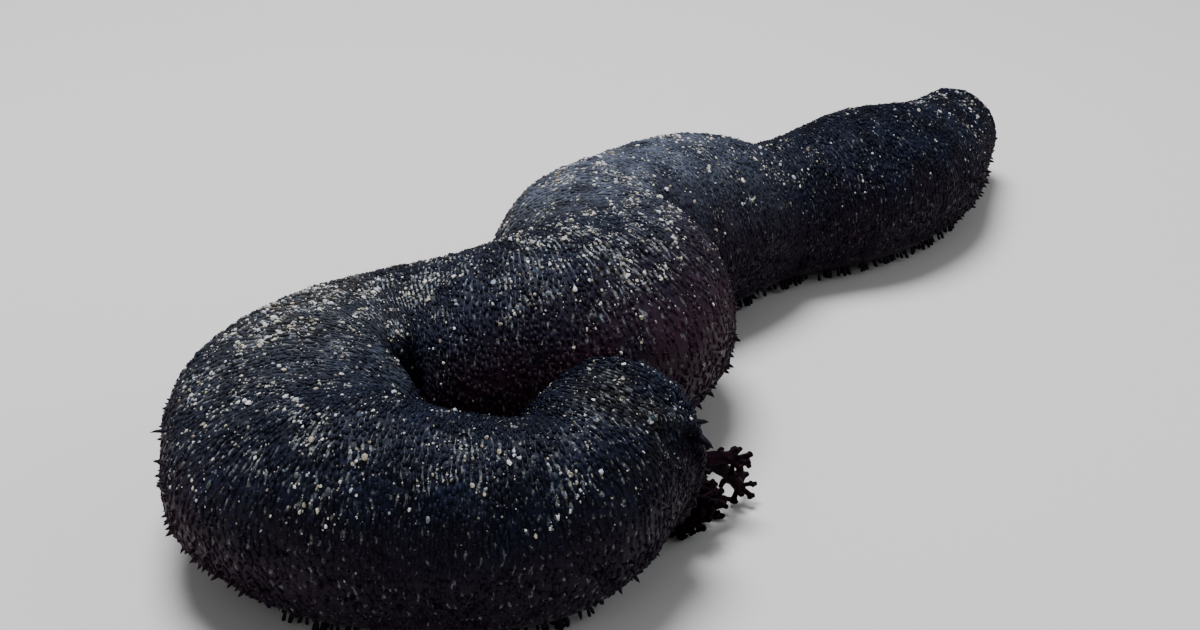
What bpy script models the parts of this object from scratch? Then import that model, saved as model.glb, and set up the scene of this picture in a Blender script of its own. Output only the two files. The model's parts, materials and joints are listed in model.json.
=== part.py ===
# A sea cucumber at life size, lying on the floor in a loose double bend with its
# head curled back beside its body. Metres, +Z up, the floor at z = 0.

import math
import random

import bmesh
import bpy
import numpy as np
from mathutils import Vector

MM = 0.001

# The body's course along the floor, from the hind end to the mouth, in millimetres:
# x, y, half the width, the height, and how far the underside is lifted there.
STATIONS = (
    (81.8, 102.3, 12.7, 25.8, 0.0),
    (70.3, 76.6, 16.2, 31.2, 0.0),
    (52.6, 55.5, 18.9, 36.2, 0.0),
    (29.1, 43.0, 17.4, 33.2, 0.0),
    (11.9, 29.8, 20.6, 39.6, 0.0),
    (-11.3, 5.4, 22.4, 42.4, 0.0),
    (-11.6, -18.7, 26.2, 44.2, 0.0),
    (-17.4, -37.8, 24.6, 45.4, 0.0),
    (-36.7, -44.1, 22.0, 43.3, 0.0),
    (-58.2, -41.5, 18.9, 36.1, 0.0),
    (-73.8, -53.8, 17.9, 34.9, 0.0),
    (-72.3, -74.9, 18.7, 35.3, 0.0),
    (-62.3, -87.4, 20.7, 40.6, 0.0),
    (-43.1, -94.0, 19.1, 37.3, 0.0),
    (-24.5, -93.0, 17.8, 35.0, 0.5),
    (-14.5, -84.5, 16.4, 37.5, 3.5),
    (-8.5, -76.0, 14.6, 38.4, 6.5),
)

# The body's lengths: name, and where each begins and ends, counted in stations.
LENGTHS = (
    ("anal_end", 0.0, 1.4),
    ("hind_trunk", 1.4, 3.3),
    ("rear_trunk", 3.3, 5.2),
    ("hump", 5.2, 7.0),
    ("middle_trunk", 7.0, 9.0),
    ("curl_start", 9.0, 10.4),
    ("curl_end", 10.4, 12.2),
    ("front_trunk", 12.2, 14.2),
    ("head", 14.2, 16.0),
)

SIDES = 26
RING_SPACING = 5.4 * MM
# The gap left between two lengths of the body, and between the tentacles and the lip.
JOIN_GAP = 0.3 * MM
# The sole is the circle of the body cut flat this far below its middle.
SOLE_DROP = 0.93
# How near the inner side of a bend comes to the middle of that bend, and how abruptly
# that limit sets in.
INNER_LIMIT = 0.8
INNER_POWER = 4
# A stretch of the course is measured in this many straight pieces.
MEASURE_PIECES = 40

# The rounded ends: rings in each, and how much of the half width is left at the last.
CAP_RINGS = 5
HIND_CAP_END = 0.12
ANUS_NARROWING = 0.6
ANUS_DEPTH = 2.5 * MM

# The middle of the mouth, the way it faces on the floor, how steeply it looks down,
# and the radius of the flat end of the head round it.
MOUTH_PLACE = Vector((-2.2, -73.2, 10.8)) * MM
MOUTH_TURN = math.radians(34.0)
MOUTH_DIP = 0.35
HEAD_END_RADIUS = 7.5 * MM

# The lip: a short ring round the mouth, widest between these shares of its thickness.
LIP_THICKNESS = 2.6 * MM
LIP_BULGE = 0.5 * MM
LIP_WIDEST = (0.3, 0.7)
MOUTH_RADIUS = 2.4 * MM
MOUTH_NARROWING = 0.6
MOUTH_DEPTH = 1.8 * MM

# The tentacles, set evenly round the mouth. In turn they lean out a lot, a little and
# between from the way the mouth faces, and droop to the floor. Those towards the far
# side are the longest, except the outermost there, which stay clear of the body. The
# upper ones that lean out a lot are shorter, and so are all the lower ones.
TENTACLES = 20
TENTACLE_RING = 5.6 * MM
TENTACLE_REACH = 15.0 * MM
LEAN_OUT = (math.radians(66.0), math.radians(26.0), math.radians(46.0))
NEAR_SIZE = 0.5
NEAR_UNTIL = -0.9
FAR_SIZE = 1.15
FAR_FROM = 0.2
OUTER_LOSS = 0.5
UPPER_LOSS = (0.5, 0.0, 0.0)
LOWER_LOSS = (0.3, 0.2, 0.25)
DROOP = (0.2, 0.5, 0.3)
TIP_CLEARANCE = 0.4 * MM

# A stalk runs straight out of the lip for a share of its length, and arches over
# before its tip. Its radius at the root, the middle and the tip.
STALK_STRAIGHT = 0.35
STALK_TURN = 0.3
STALK_ARCH = (0.2, 0.2, 0.1)
STALK_RADII = (0.65 * MM, 0.55 * MM, 0.4 * MM)
STALK_SIDES = 5
STALK_RINGS = 5

# The branches of a tentacle: how many stand round its tip and along its outer half,
# how they are turned round it, how long and thick they are on the longest tentacle,
# how much their length varies, and how far they spread.
TIP_BRANCHES = 4
TIP_BRANCH_TURN = 0.3
SIDE_BRANCHES = 2
SIDE_BRANCH_TURN = 0.8
BRANCH_LENGTH = 2.5 * MM
BRANCH_VARIATION = (0.8, 1.1)
BRANCH_RADIUS = 0.38 * MM
BRANCH_TIP_RADIUS = 0.26 * MM
BRANCH_SPREAD = math.radians(58.0)
BRANCH_SIDES = 4

# The papillae stand in rows along the body: the row's place round the body, the
# distance between papillae, and their least and greatest length.
PAPILLA_ROWS = (
    (math.radians(-13.0), 7.2 * MM, 1.9 * MM, 2.9 * MM),
    (math.radians(9.0), 7.6 * MM, 1.7 * MM, 2.7 * MM),
    (math.radians(33.0), 8.8 * MM, 1.4 * MM, 2.2 * MM),
    (math.radians(66.0), 14.0 * MM, 1.0 * MM, 1.5 * MM),
)
PAPILLA_SIDES = 4
# A papilla's radius as a share of its length, how high its bend to a finer taper is,
# and how much of the radius is left there.
PAPILLA_RADIUS = 0.34
PAPILLA_KNEE = 0.5
PAPILLA_KNEE_RADIUS = 0.55
PAPILLA_ROOT = 1.3 * MM
PAPILLA_WANDER = math.radians(7.0)
SPACING_VARIATION = (0.8, 1.2)
# How far papillae keep from the ends of a length, and from the inner side of a bend.
PAPILLA_MARGIN = 2.2 * MM
PAPILLA_CROWDING = 0.45
# How far a papilla's tip stays from a length of the body that lies alongside, from how
# many stations on that is asked, and at how many places between two stations.
PAPILLA_CLEARANCE = 1.2 * MM
ALONGSIDE = 2.5
LOOKS_PER_STATION = 4

# Edges sharper than this stay crisp.
SHARP_EDGE = math.radians(50.0)
ROUGHNESS = 0.5

SKIN_COLOUR = (0.012, 0.010, 0.012)
LIP_COLOUR = (0.020, 0.012, 0.012)
TENTACLE_COLOUR = (0.030, 0.012, 0.012)


def clear_scene():
    for item in list(bpy.data.objects):
        bpy.data.objects.remove(item, do_unlink=True)


def smoothstep(low, high, value):
    share = min(max((value - low) / (high - low), 0.0), 1.0)
    return share * share * (3.0 - 2.0 * share)


# A natural cubic spline through rows of numbers, one row for each whole station.
class Course:
    def __init__(self, rows):
        self.rows = np.array(rows) * MM
        count = len(rows)
        system = np.eye(count) * 4.0
        system[0, 0] = system[-1, -1] = 1.0
        bend = np.zeros_like(self.rows)
        for i in range(1, count - 1):
            system[i, i - 1] = system[i, i + 1] = 1.0
            bend[i] = 6.0 * (self.rows[i + 1] - 2.0 * self.rows[i] + self.rows[i - 1])
        self.second = np.linalg.solve(system, bend)

    def at(self, station):
        i = min(max(int(station), 0), len(self.rows) - 2)
        b = station - i
        a = 1.0 - b
        row = a * self.rows[i] + b * self.rows[i + 1]
        row = row + ((a ** 3 - a) * self.second[i] + (b ** 3 - b) * self.second[i + 1]) / 6.0
        return row

    def heading(self, station):
        step = 0.01
        ahead = self.at(min(station + step, len(self.rows) - 1))
        behind = self.at(max(station - step, 0.0))
        return Vector((ahead[0] - behind[0], ahead[1] - behind[1], 0.0)).normalized()

    def curvature(self, station):
        step = 0.15
        low, high = max(station - step, 0.0), min(station + step, len(self.rows) - 1)
        turn = self.heading(low).xy.angle_signed(self.heading(high).xy)
        return -turn / self.distance(low, high)

    def distance(self, low, high):
        shares = np.linspace(0.0, 1.0, MEASURE_PIECES + 1)
        marks = [self.at(low + (high - low) * share) for share in shares]
        return sum(math.hypot(q[0] - p[0], q[1] - p[1]) for p, q in zip(marks, marks[1:]))


COURSE = Course(STATIONS)


# A point on the round body at an angle from its left side. The outline is an ellipse,
# drawn in on the inner side of a bend so that neighbouring rings stay apart.
def round_point(station, angle, offset=0.0):
    x, y, half_width, height, lift = COURSE.at(station)
    heading = COURSE.heading(station)
    side = Vector((-heading.y, heading.x, 0.0))
    across = half_width * math.cos(angle)
    crowding = COURSE.curvature(station) * across / INNER_LIMIT
    if crowding > 0.0:
        across /= (1.0 + crowding ** INNER_POWER) ** (1.0 / INNER_POWER)
    upright = (height - lift) / (1.0 + SOLE_DROP)
    up = lift + upright * (SOLE_DROP + math.sin(angle))
    return Vector((x, y, up)) + heading * offset + side * across


# One ring of points round the body, with the sole cut flat.
def ring_at(station, offset=0.0):
    points = []
    for i in range(SIDES):
        point = round_point(station, math.tau * (i + 0.5) / SIDES, offset)
        point.z = max(point.z, 0.0)
        points.append(point)
    return points


# A point on the skin, the way the skin faces there, and how crowded the bend makes it.
def skin_place(station, angle):
    step = 0.02
    here = round_point(station, angle)
    onward = round_point(station + step, angle) - here
    upward = round_point(station, angle + step) - here
    crowding = COURSE.curvature(station) * COURSE.at(station)[2] * math.cos(angle)
    return here, upward.cross(onward).normalized(), crowding


# A ring drawn in towards a point and moved along, for a rounded end.
def shrunk(ring, middle, share, shift):
    return [middle + (point - middle) * share + shift for point in ring]


def ring_middle(station):
    x, y, half_width, height, lift = COURSE.at(station)
    return Vector((x, y, lift + (height - lift) * SOLE_DROP / (1.0 + SOLE_DROP)))


def hind_cap():
    ring = ring_at(0.0)
    middle = ring_middle(0.0)
    heading = COURSE.heading(0.0)
    depth = COURSE.at(0.0)[2]
    rings = []
    for i in range(CAP_RINGS, 0, -1):
        turn = math.acos(HIND_CAP_END) * i / CAP_RINGS
        rings.append(shrunk(ring, middle, math.cos(turn), -heading * depth * math.sin(turn)))
    pit = shrunk(rings[0], middle - heading * depth, ANUS_NARROWING, heading * ANUS_DEPTH)
    return [pit] + rings


# The plane of the mouth: its middle, the way it faces, and its two cross directions.
def mouth_frame():
    heading = Vector((math.cos(MOUTH_TURN), math.sin(MOUTH_TURN), 0.0))
    facing = (heading - Vector((0.0, 0.0, MOUTH_DIP))).normalized()
    side = Vector((-heading.y, heading.x, 0.0))
    return MOUTH_PLACE, facing, side, facing.cross(side)


def mouth_ring(radius, advance):
    middle, facing, side, up = mouth_frame()
    points = []
    for i in range(SIDES):
        angle = math.tau * (i + 0.5) / SIDES
        spoke = side * math.cos(angle) + up * math.sin(angle)
        points.append(middle + spoke * radius + facing * advance)
    return points


# The head closes in a dome from its last full ring to the flat end that carries the lip.
def head_cap():
    ring = ring_at(len(STATIONS) - 1)
    end = mouth_ring(HEAD_END_RADIUS, 0.0)
    facing = mouth_frame()[1]
    rings = []
    for i in range(1, CAP_RINGS + 1):
        turn = math.pi / 2.0 * i / CAP_RINGS
        inward, onward = 1.0 - math.cos(turn), math.sin(turn)
        points = []
        for a, b in zip(ring, end):
            ahead = facing * facing.dot(b - a)
            points.append(a + ahead * onward + (b - a - ahead) * inward)
        rings.append(points)
    return rings


def solid_from_rings(name, rings, colour):
    body = bmesh.new()
    loops = [[body.verts.new(point) for point in ring] for ring in rings]
    count = len(rings[0])
    for near, far in zip(loops, loops[1:]):
        for i in range(count):
            j = (i + 1) % count
            body.faces.new((near[i], near[j], far[j], far[i]))
    for loop in (loops[0], loops[-1]):
        middle = sum((v.co for v in loop), Vector()) / count
        hub = body.verts.new(middle)
        for i in range(count):
            body.faces.new((loop[i], loop[(i + 1) % count], hub))
    bmesh.ops.recalc_face_normals(body, faces=body.faces)
    item = object_from(body, name)
    item.data.materials.append(plain_material(name, colour))
    return item


def object_from(body, name, collection=None):
    mesh = bpy.data.meshes.new(name)
    body.to_mesh(mesh)
    body.free()
    mesh.shade_smooth()
    mesh.set_sharp_from_angle(angle=SHARP_EDGE)
    item = bpy.data.objects.new(name, mesh)
    (collection or bpy.context.scene.collection).objects.link(item)
    return item


# Join the growths to the piece they stand on, as one closed skin.
def fuse(item, growths):
    union = item.modifiers.new("growths", "BOOLEAN")
    union.operation = "UNION"
    union.operand_type = "COLLECTION"
    union.collection = growths
    bpy.context.view_layer.objects.active = item
    bpy.ops.object.modifier_apply(modifier=union.name)
    for growth in list(growths.objects):
        bpy.data.objects.remove(growth, do_unlink=True)
    bpy.data.collections.remove(growths)
    keep_largest(item)


# Keep the largest closed surface of a mesh, which is the piece itself.
def keep_largest(item):
    body = bmesh.new()
    body.from_mesh(item.data)
    unseen = set(body.verts)
    shells = []
    while unseen:
        shell = {unseen.pop()}
        edge = list(shell)
        while edge:
            vert = edge.pop()
            fresh = {e.other_vert(vert) for e in vert.link_edges} & unseen
            unseen -= fresh
            shell |= fresh
            edge.extend(fresh)
        shells.append(shell)
    largest = max(shells, key=len)
    spare = [v for shell in shells if shell is not largest for v in shell]
    bmesh.ops.delete(body, geom=spare, context="VERTS")
    body.to_mesh(item.data)
    body.free()


def new_collection(name):
    collection = bpy.data.collections.new(name)
    bpy.context.scene.collection.children.link(collection)
    return collection


# A tapering growth from a sunk root: two cones, the upper one nearly to a point.
def papilla(root, facing, length, radius, collection):
    body = bmesh.new()
    rings = []
    turn = facing.to_track_quat("Z", "Y")
    knee = PAPILLA_ROOT + length * PAPILLA_KNEE
    for level, share in ((0.0, 1.0), (knee, PAPILLA_KNEE_RADIUS)):
        rings.append([
            body.verts.new(root + turn @ Vector((
                radius * share * math.cos(math.tau * i / PAPILLA_SIDES),
                radius * share * math.sin(math.tau * i / PAPILLA_SIDES),
                level,
            )))
            for i in range(PAPILLA_SIDES)
        ])
    tip = body.verts.new(root + facing * (PAPILLA_ROOT + length))
    foot, middle = rings
    for i in range(PAPILLA_SIDES):
        j = (i + 1) % PAPILLA_SIDES
        body.faces.new((foot[i], foot[j], middle[j], middle[i]))
        body.faces.new((middle[i], middle[j], tip))
    body.faces.new(reversed(foot))
    bmesh.ops.recalc_face_normals(body, faces=body.faces)
    return object_from(body, "papilla", collection)


# Whether a point lies against a length of the body other than the one round a station.
def against_body(point, station):
    for step in range(LOOKS_PER_STATION * (len(STATIONS) - 1) + 1):
        other = step / LOOKS_PER_STATION
        x, y, half_width = COURSE.at(other)[:3]
        apart = math.hypot(point.x - x, point.y - y)
        if abs(other - station) > ALONGSIDE and apart < half_width + PAPILLA_CLEARANCE:
            return True
    return False


# Set the papillae on one length of the body, in rows that wander a little.
def add_papillae(item, start, end, seed):
    draw = random.Random(seed)
    growths = new_collection("papillae")
    span = COURSE.distance(start, end)
    for angle, spacing, least, most in PAPILLA_ROWS:
        for mirrored in (False, True):
            travelled = PAPILLA_MARGIN + spacing * draw.uniform(0.0, 0.5)
            while travelled < span - PAPILLA_MARGIN:
                station = start + (end - start) * travelled / span
                turn = angle + draw.uniform(-PAPILLA_WANDER, PAPILLA_WANDER)
                turn = math.pi - turn if mirrored else turn
                place, facing, crowding = skin_place(station, turn)
                length = draw.uniform(least, most)
                free = not against_body(place + facing * length, station)
                if crowding < PAPILLA_CROWDING and free:
                    root = place - facing * PAPILLA_ROOT
                    papilla(root, facing, length, length * PAPILLA_RADIUS, growths)
                travelled += spacing * draw.uniform(*SPACING_VARIATION)
    fuse(item, growths)


def plain_material(name, colour):
    material = bpy.data.materials.new(name + "_finish")
    material.use_nodes = True
    shader = material.node_tree.nodes["Principled BSDF"]
    shader.inputs["Base Color"].default_value = (*colour, 1.0)
    shader.inputs["Roughness"].default_value = ROUGHNESS
    return material


def trunk_length(name, start, end):
    last = len(STATIONS) - 1
    span = COURSE.distance(start, end)
    count = max(round(span / RING_SPACING), 3)
    rings = []
    for i in range(count + 1):
        station = start + (end - start) * i / count
        offset = 0.0
        if i == 0 and start > 0.0:
            offset = JOIN_GAP / 2.0
        if i == count and end < last:
            offset = -JOIN_GAP / 2.0
        rings.append(ring_at(station, offset))
    if start == 0.0:
        rings = hind_cap() + rings
    if end == last:
        rings = rings + head_cap()
    return solid_from_rings(name, rings, SKIN_COLOUR)


# The lip, with the mouth sunk in the middle of it.
def lip():
    radius = HEAD_END_RADIUS
    front = JOIN_GAP + LIP_THICKNESS
    rings = [mouth_ring(radius - LIP_BULGE, JOIN_GAP)]
    for share in LIP_WIDEST:
        rings.append(mouth_ring(radius, JOIN_GAP + LIP_THICKNESS * share))
    rings.append(mouth_ring(radius - LIP_BULGE, front))
    rings.append(mouth_ring(MOUTH_RADIUS, front))
    rings.append(mouth_ring(MOUTH_RADIUS * MOUTH_NARROWING, front - MOUTH_DEPTH))
    return solid_from_rings("mouth", rings, LIP_COLOUR)


# The rings of a round stalk along a line of points. Its root faces the way given.
def stalk_rings(points, radii, root_facing):
    rings = []
    guide = Vector((0.0, 0.0, 1.0))
    for i, point in enumerate(points):
        ahead = points[min(i + 1, len(points) - 1)]
        behind = points[max(i - 1, 0)]
        along = root_facing if i == 0 else (ahead - behind).normalized()
        side = along.cross(guide).normalized()
        guide = side.cross(along)
        rings.append([
            point + (side * math.cos(a) + guide * math.sin(a)) * radii[i]
            for a in (math.tau * k / STALK_SIDES for k in range(STALK_SIDES))
        ])
    return rings


def bezier(a, b, c, d, count):
    points = []
    for i in range(count):
        t = i / (count - 1)
        s = 1.0 - t
        points.append(a * s ** 3 + b * 3 * s * s * t + c * 3 * s * t * t + d * t ** 3)
    return points


# A tentacle's size beside the longest: small on the near side of the mouth.
def tentacle_size(across):
    size = NEAR_SIZE + (FAR_SIZE - NEAR_SIZE) * smoothstep(NEAR_UNTIL, FAR_FROM, across)
    return size - OUTER_LOSS * smoothstep(0.4, 1.0, across)


# The middle line of a tentacle, from the lip out and drooping towards the floor.
def tentacle_line(index):
    middle, facing, side, up = mouth_frame()
    angle = math.tau * (index + 0.5) / TENTACLES
    across, upward = math.cos(angle), math.sin(angle)
    spoke = side * across + up * upward
    tier = (index + index * 2 // TENTACLES) % len(LEAN_OUT)
    size = tentacle_size(across) * (1.0 - UPPER_LOSS[tier] * max(upward, 0.0))
    size *= 1.0 - LOWER_LOSS[tier] * max(-upward, 0.0)
    lean = LEAN_OUT[tier]
    root = middle + facing * (2.0 * JOIN_GAP + LIP_THICKNESS) + spoke * TENTACLE_RING
    reach = TENTACLE_REACH * size
    end = middle + (facing * math.cos(lean) + spoke * math.sin(lean)) * reach
    end += facing * LIP_THICKNESS
    end.z -= reach * DROOP[tier] * (1.0 + upward) / 2.0
    end.z = max(end.z, STALK_RADII[-1] + TIP_CLEARANCE)
    stride = (end - root).length
    first = root + facing * stride * STALK_STRAIGHT
    arch = Vector((0.0, 0.0, stride * STALK_ARCH[tier]))
    second = end - (end - root) * STALK_TURN + arch
    return bezier(root, first, second, end, STALK_RINGS), size


# The branches of one tentacle: some along its outer half, the rest round its tip.
def add_branches(item, points, size, seed):
    draw = random.Random(seed)
    growths = new_collection("branches")
    tip = len(points) - 1
    places = [(tip, math.tau * (i + TIP_BRANCH_TURN) / TIP_BRANCHES) for i in range(TIP_BRANCHES)]
    places += [(tip - 2 - i % 2, math.pi * i + SIDE_BRANCH_TURN) for i in range(SIDE_BRANCHES)]
    for at, around in places:
        along = (points[at] - points[at - 1]).normalized()
        side = along.cross(Vector((0.0, 0.0, 1.0))).normalized()
        spoke = side * math.cos(around) + side.cross(along) * math.sin(around)
        facing = along * math.cos(BRANCH_SPREAD) + spoke * math.sin(BRANCH_SPREAD)
        length = BRANCH_LENGTH * size * draw.uniform(*BRANCH_VARIATION)
        root = points[at] - along * BRANCH_RADIUS
        end = root + facing * length
        end.z = max(end.z, BRANCH_TIP_RADIUS + TIP_CLEARANCE)
        branch = bmesh.new()
        place = (end - root).to_track_quat("Z", "Y").to_matrix().to_4x4()
        place.translation = (root + end) / 2.0
        bmesh.ops.create_cone(
            branch, cap_ends=True, segments=BRANCH_SIDES, radius1=BRANCH_RADIUS,
            radius2=BRANCH_TIP_RADIUS, depth=(end - root).length, matrix=place,
        )
        object_from(branch, "branch", growths)
    fuse(item, growths)


def tentacle(index):
    points, size = tentacle_line(index)
    marks = np.linspace(0.0, 1.0, STALK_RINGS)
    radii = np.interp(marks, np.linspace(0.0, 1.0, len(STALK_RADII)), STALK_RADII)
    rings = stalk_rings(points, radii, mouth_frame()[1])
    item = solid_from_rings(f"tentacle_{index + 1:02d}", rings, TENTACLE_COLOUR)
    add_branches(item, points, size, index)


def build():
    clear_scene()
    for index, (name, start, end) in enumerate(LENGTHS):
        item = trunk_length(name, start, end)
        add_papillae(item, start, end, index)
    lip()
    for index in range(TENTACLES):
        tentacle(index)


build()
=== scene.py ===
# A black sea cucumber at rest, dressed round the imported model: skin, granules, papillae,
# tube feet, the sand that clings to its back, and its mouth with twenty tentacles.
import json
import math

import bmesh
import bpy
import numpy as np
from mathutils import Matrix, Vector

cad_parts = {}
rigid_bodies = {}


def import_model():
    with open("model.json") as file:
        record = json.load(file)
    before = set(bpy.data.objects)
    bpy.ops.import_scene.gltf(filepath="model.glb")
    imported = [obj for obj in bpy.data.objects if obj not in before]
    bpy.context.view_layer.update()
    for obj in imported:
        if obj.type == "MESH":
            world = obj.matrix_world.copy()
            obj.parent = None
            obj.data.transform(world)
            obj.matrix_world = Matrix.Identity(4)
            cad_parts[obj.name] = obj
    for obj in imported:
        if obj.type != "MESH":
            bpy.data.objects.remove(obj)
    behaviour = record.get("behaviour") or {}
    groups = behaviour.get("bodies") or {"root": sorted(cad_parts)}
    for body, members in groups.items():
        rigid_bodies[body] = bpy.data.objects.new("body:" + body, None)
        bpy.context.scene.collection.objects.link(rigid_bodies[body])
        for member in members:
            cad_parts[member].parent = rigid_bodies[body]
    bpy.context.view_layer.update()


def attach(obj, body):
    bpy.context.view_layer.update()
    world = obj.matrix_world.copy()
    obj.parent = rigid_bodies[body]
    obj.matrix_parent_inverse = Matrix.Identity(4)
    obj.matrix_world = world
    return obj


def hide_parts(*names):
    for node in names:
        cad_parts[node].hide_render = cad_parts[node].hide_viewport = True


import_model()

bpy.ops.object.select_all(action="DESELECT")
mm = 0.001
allAround = 2.0 * math.pi


# Small helpers

def toLinear(hexColour):
    parts = [int(hexColour[i:i + 2], 16) / 255.0 for i in (1, 3, 5)]
    return [p / 12.92 if p <= 0.04045 else ((p + 0.055) / 1.055) ** 2.4 for p in parts] + [1.0]


def smoothStep(low, high, value):
    share = np.clip((value - low) / (high - low), 0.0, 1.0)
    return share * share * (3.0 - 2.0 * share)


noiseSettings = {
    "waves": 14,
    "sizes": (0.75, 1.5),  # of the shortest and the longest wave, as shares of the size asked for
    "evening": 1.6,  # brings nearly all of it between -1 and 1
}


# A soft, even noise between about -1 and 1: the sum of waves of about one size
def softNoise(points, size, seed):
    s = noiseSettings
    draw = np.random.default_rng(seed)
    heights = np.zeros(points.shape[:-1])
    for _ in range(s["waves"]):
        way = draw.normal(size=3)
        way *= allAround / (size * draw.uniform(*s["sizes"]) * np.linalg.norm(way))
        heights += np.sin(points @ way + draw.uniform(0.0, allAround))
    return heights / math.sqrt(s["waves"] / 2.0) / s["evening"]


# An input takes a number or colour, or a link from a socket or from a node's first output
def setInputs(tree, node, inputs):
    for name, value in inputs.items():
        if isinstance(value, bpy.types.Node):
            value = next(socket for socket in value.outputs if socket.enabled)
        if isinstance(value, bpy.types.NodeSocket):
            tree.links.new(value, node.inputs[name])
        else:
            node.inputs[name].default_value = value


def addNode(tree, kind, inputs=None, **settings):
    node = tree.nodes.new("ShaderNode" + kind)
    for name, value in settings.items():
        setattr(node, name, value)
    setInputs(tree, node, inputs or {})
    return node


def newMaterial(name):
    material = bpy.data.materials.new(name)
    material.use_nodes = True
    tree = material.node_tree
    return material, tree, tree.nodes["Principled BSDF"]


def applyModifier(kind, **settings):
    modifier = bpy.context.object.modifiers.new(kind.lower(), kind)
    for name, value in settings.items():
        setattr(modifier, name, value)
    bpy.ops.object.modifier_apply(modifier=modifier.name)


def finishPiece(piece, material):
    piece.data.materials.clear()
    piece.data.materials.append(material)
    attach(piece, "root")
    bpy.ops.object.select_all(action="DESELECT")


# Camera: a little above the animal and in front of it, looking down
cameraSettings = {
    "place": (-0.0130, -0.3345, 0.1754),
    "lookDown": math.radians(26.44),
    "lens": 51.0,
}
bpy.ops.object.camera_add(
    location=cameraSettings["place"],
    rotation=(math.radians(90.0) - cameraSettings["lookDown"], 0.0, 0.0),
)
camera = bpy.context.object
camera.name = "studioCamera"
camera.data.lens = cameraSettings["lens"]
camera.data.clip_start = 0.01
bpy.context.scene.camera = camera
print("stage: camera set")


# The course of the body

course = {
    # x, y, half width, height and lift of the underside, mm, from the hind end to the mouth
    "stations": (
        (81.8, 102.3, 12.7, 25.8, 0.0),
        (70.3, 76.6, 16.2, 31.2, 0.0),
        (52.6, 55.5, 18.9, 36.2, 0.0),
        (29.1, 43.0, 17.4, 33.2, 0.0),
        (11.9, 29.8, 20.6, 39.6, 0.0),
        (-11.3, 5.4, 22.4, 42.4, 0.0),
        (-11.6, -18.7, 26.2, 44.2, 0.0),
        (-17.4, -37.8, 24.6, 45.4, 0.0),
        (-36.7, -44.1, 22.0, 43.3, 0.0),
        (-52.1, -45.5, 25.4, 37.6, 0.0),
        (-64.5, -56.7, 27.5, 37.5, 0.0),
        (-65.3, -77.0, 24.9, 35.3, 0.0),
        (-56.4, -89.5, 22.3, 38.0, 0.0),
        (-43.1, -94.0, 19.1, 37.3, 0.0),
        (-24.5, -93.0, 17.8, 35.0, 0.5),
        (-14.5, -84.5, 16.4, 37.5, 3.5),
        (-8.5, -76.0, 14.6, 38.4, 6.5),
    ),
    "fineness": 3000,  # places at which its length is measured
    "soleDrop": 0.93,  # how far below its middle the round body is cut flat
    "innerLimit": 0.8,  # how near the inner side of a bend comes to that bend's middle
    "innerSharpness": 4.0,  # how abruptly that limit sets in
    "mouthPlace": Vector((-2.2, -73.2, 10.8)) * mm,
    "mouthTurn": math.radians(34.0),
    "mouthDip": 0.35,
    "mouthRadius": 7.5 * mm,
}

# A natural cubic spline through the stations
rows = np.array(course["stations"]) * mm
last = len(rows) - 1
system = np.eye(last + 1) * 4.0
system[0, 0] = system[-1, -1] = 1.0
bends = np.zeros_like(rows)
for i in range(1, last):
    system[i, i - 1] = system[i, i + 1] = 1.0
    bends[i] = 6.0 * (rows[i + 1] - 2.0 * rows[i] + rows[i - 1])
bends = np.linalg.solve(system, bends)


# A row of the course, the way it heads on the floor, and how sharply it bends to the left
def courseAt(station):
    station = np.atleast_1d(np.asarray(station, float))
    i = np.clip(station.astype(int), 0, last - 1)
    b = (station - i)[:, None]
    a = 1.0 - b
    row = a * rows[i] + b * rows[i + 1]
    row += ((a ** 3 - a) * bends[i] + (b ** 3 - b) * bends[i + 1]) / 6.0
    speed = rows[i + 1] - rows[i]
    speed = (speed + ((3 * b * b - 1) * bends[i + 1] - (3 * a * a - 1) * bends[i]) / 6.0)[:, :2]
    swing = (a * bends[i] + b * bends[i + 1])[:, :2]
    pace = np.linalg.norm(speed, axis=1)
    curvature = (speed[:, 0] * swing[:, 1] - speed[:, 1] * swing[:, 0]) / pace ** 3
    return row, speed / pace[:, None], curvature


# Rings of the plain body: an ellipse with a flat sole, drawn in on the inner side of a bend
def bodyRings(station, angle):
    row, heading, curvature = courseAt(station)
    x, y, halfWidth, height, lift = row.T
    across = halfWidth[:, None] * np.cos(angle)
    crowding = np.maximum(curvature[:, None] * across / course["innerLimit"], 0.0)
    across = across / (1.0 + crowding ** course["innerSharpness"]) ** (1.0 / course["innerSharpness"])
    upright = (height - lift)[:, None] / (1.0 + course["soleDrop"])
    up = lift[:, None] + upright * (course["soleDrop"] + np.sin(angle))
    left = np.stack([-heading[:, 1], heading[:, 0]], 1)[:, None, :]
    ring = np.empty(across.shape + (3,))
    ring[..., :2] = row[:, None, :2] + left * across[..., None]
    ring[..., 2] = np.maximum(up, 0.0)
    return ring


# Stations set evenly along the body, and how far each lies from the hind end
def evenStations(spacing):
    fine = np.linspace(0.0, last, course["fineness"])
    places = courseAt(fine)[0][:, :2]
    far = np.concatenate([[0.0], np.cumsum(np.linalg.norm(np.diff(places, axis=0), axis=1))])
    count = int(far[-1] / spacing)
    marks = np.linspace(0.0, far[-1], count)
    return np.interp(marks, far, fine), marks


mouthHeading = Vector((math.cos(course["mouthTurn"]), math.sin(course["mouthTurn"]), 0.0))
mouthFacing = (mouthHeading - Vector((0.0, 0.0, course["mouthDip"]))).normalized()
mouthSide = Vector((-mouthHeading.y, mouthHeading.x, 0.0))
mouthUp = mouthFacing.cross(mouthSide)


# The skin: one closed surface from the vent to the inside of the collar round the mouth

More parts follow.
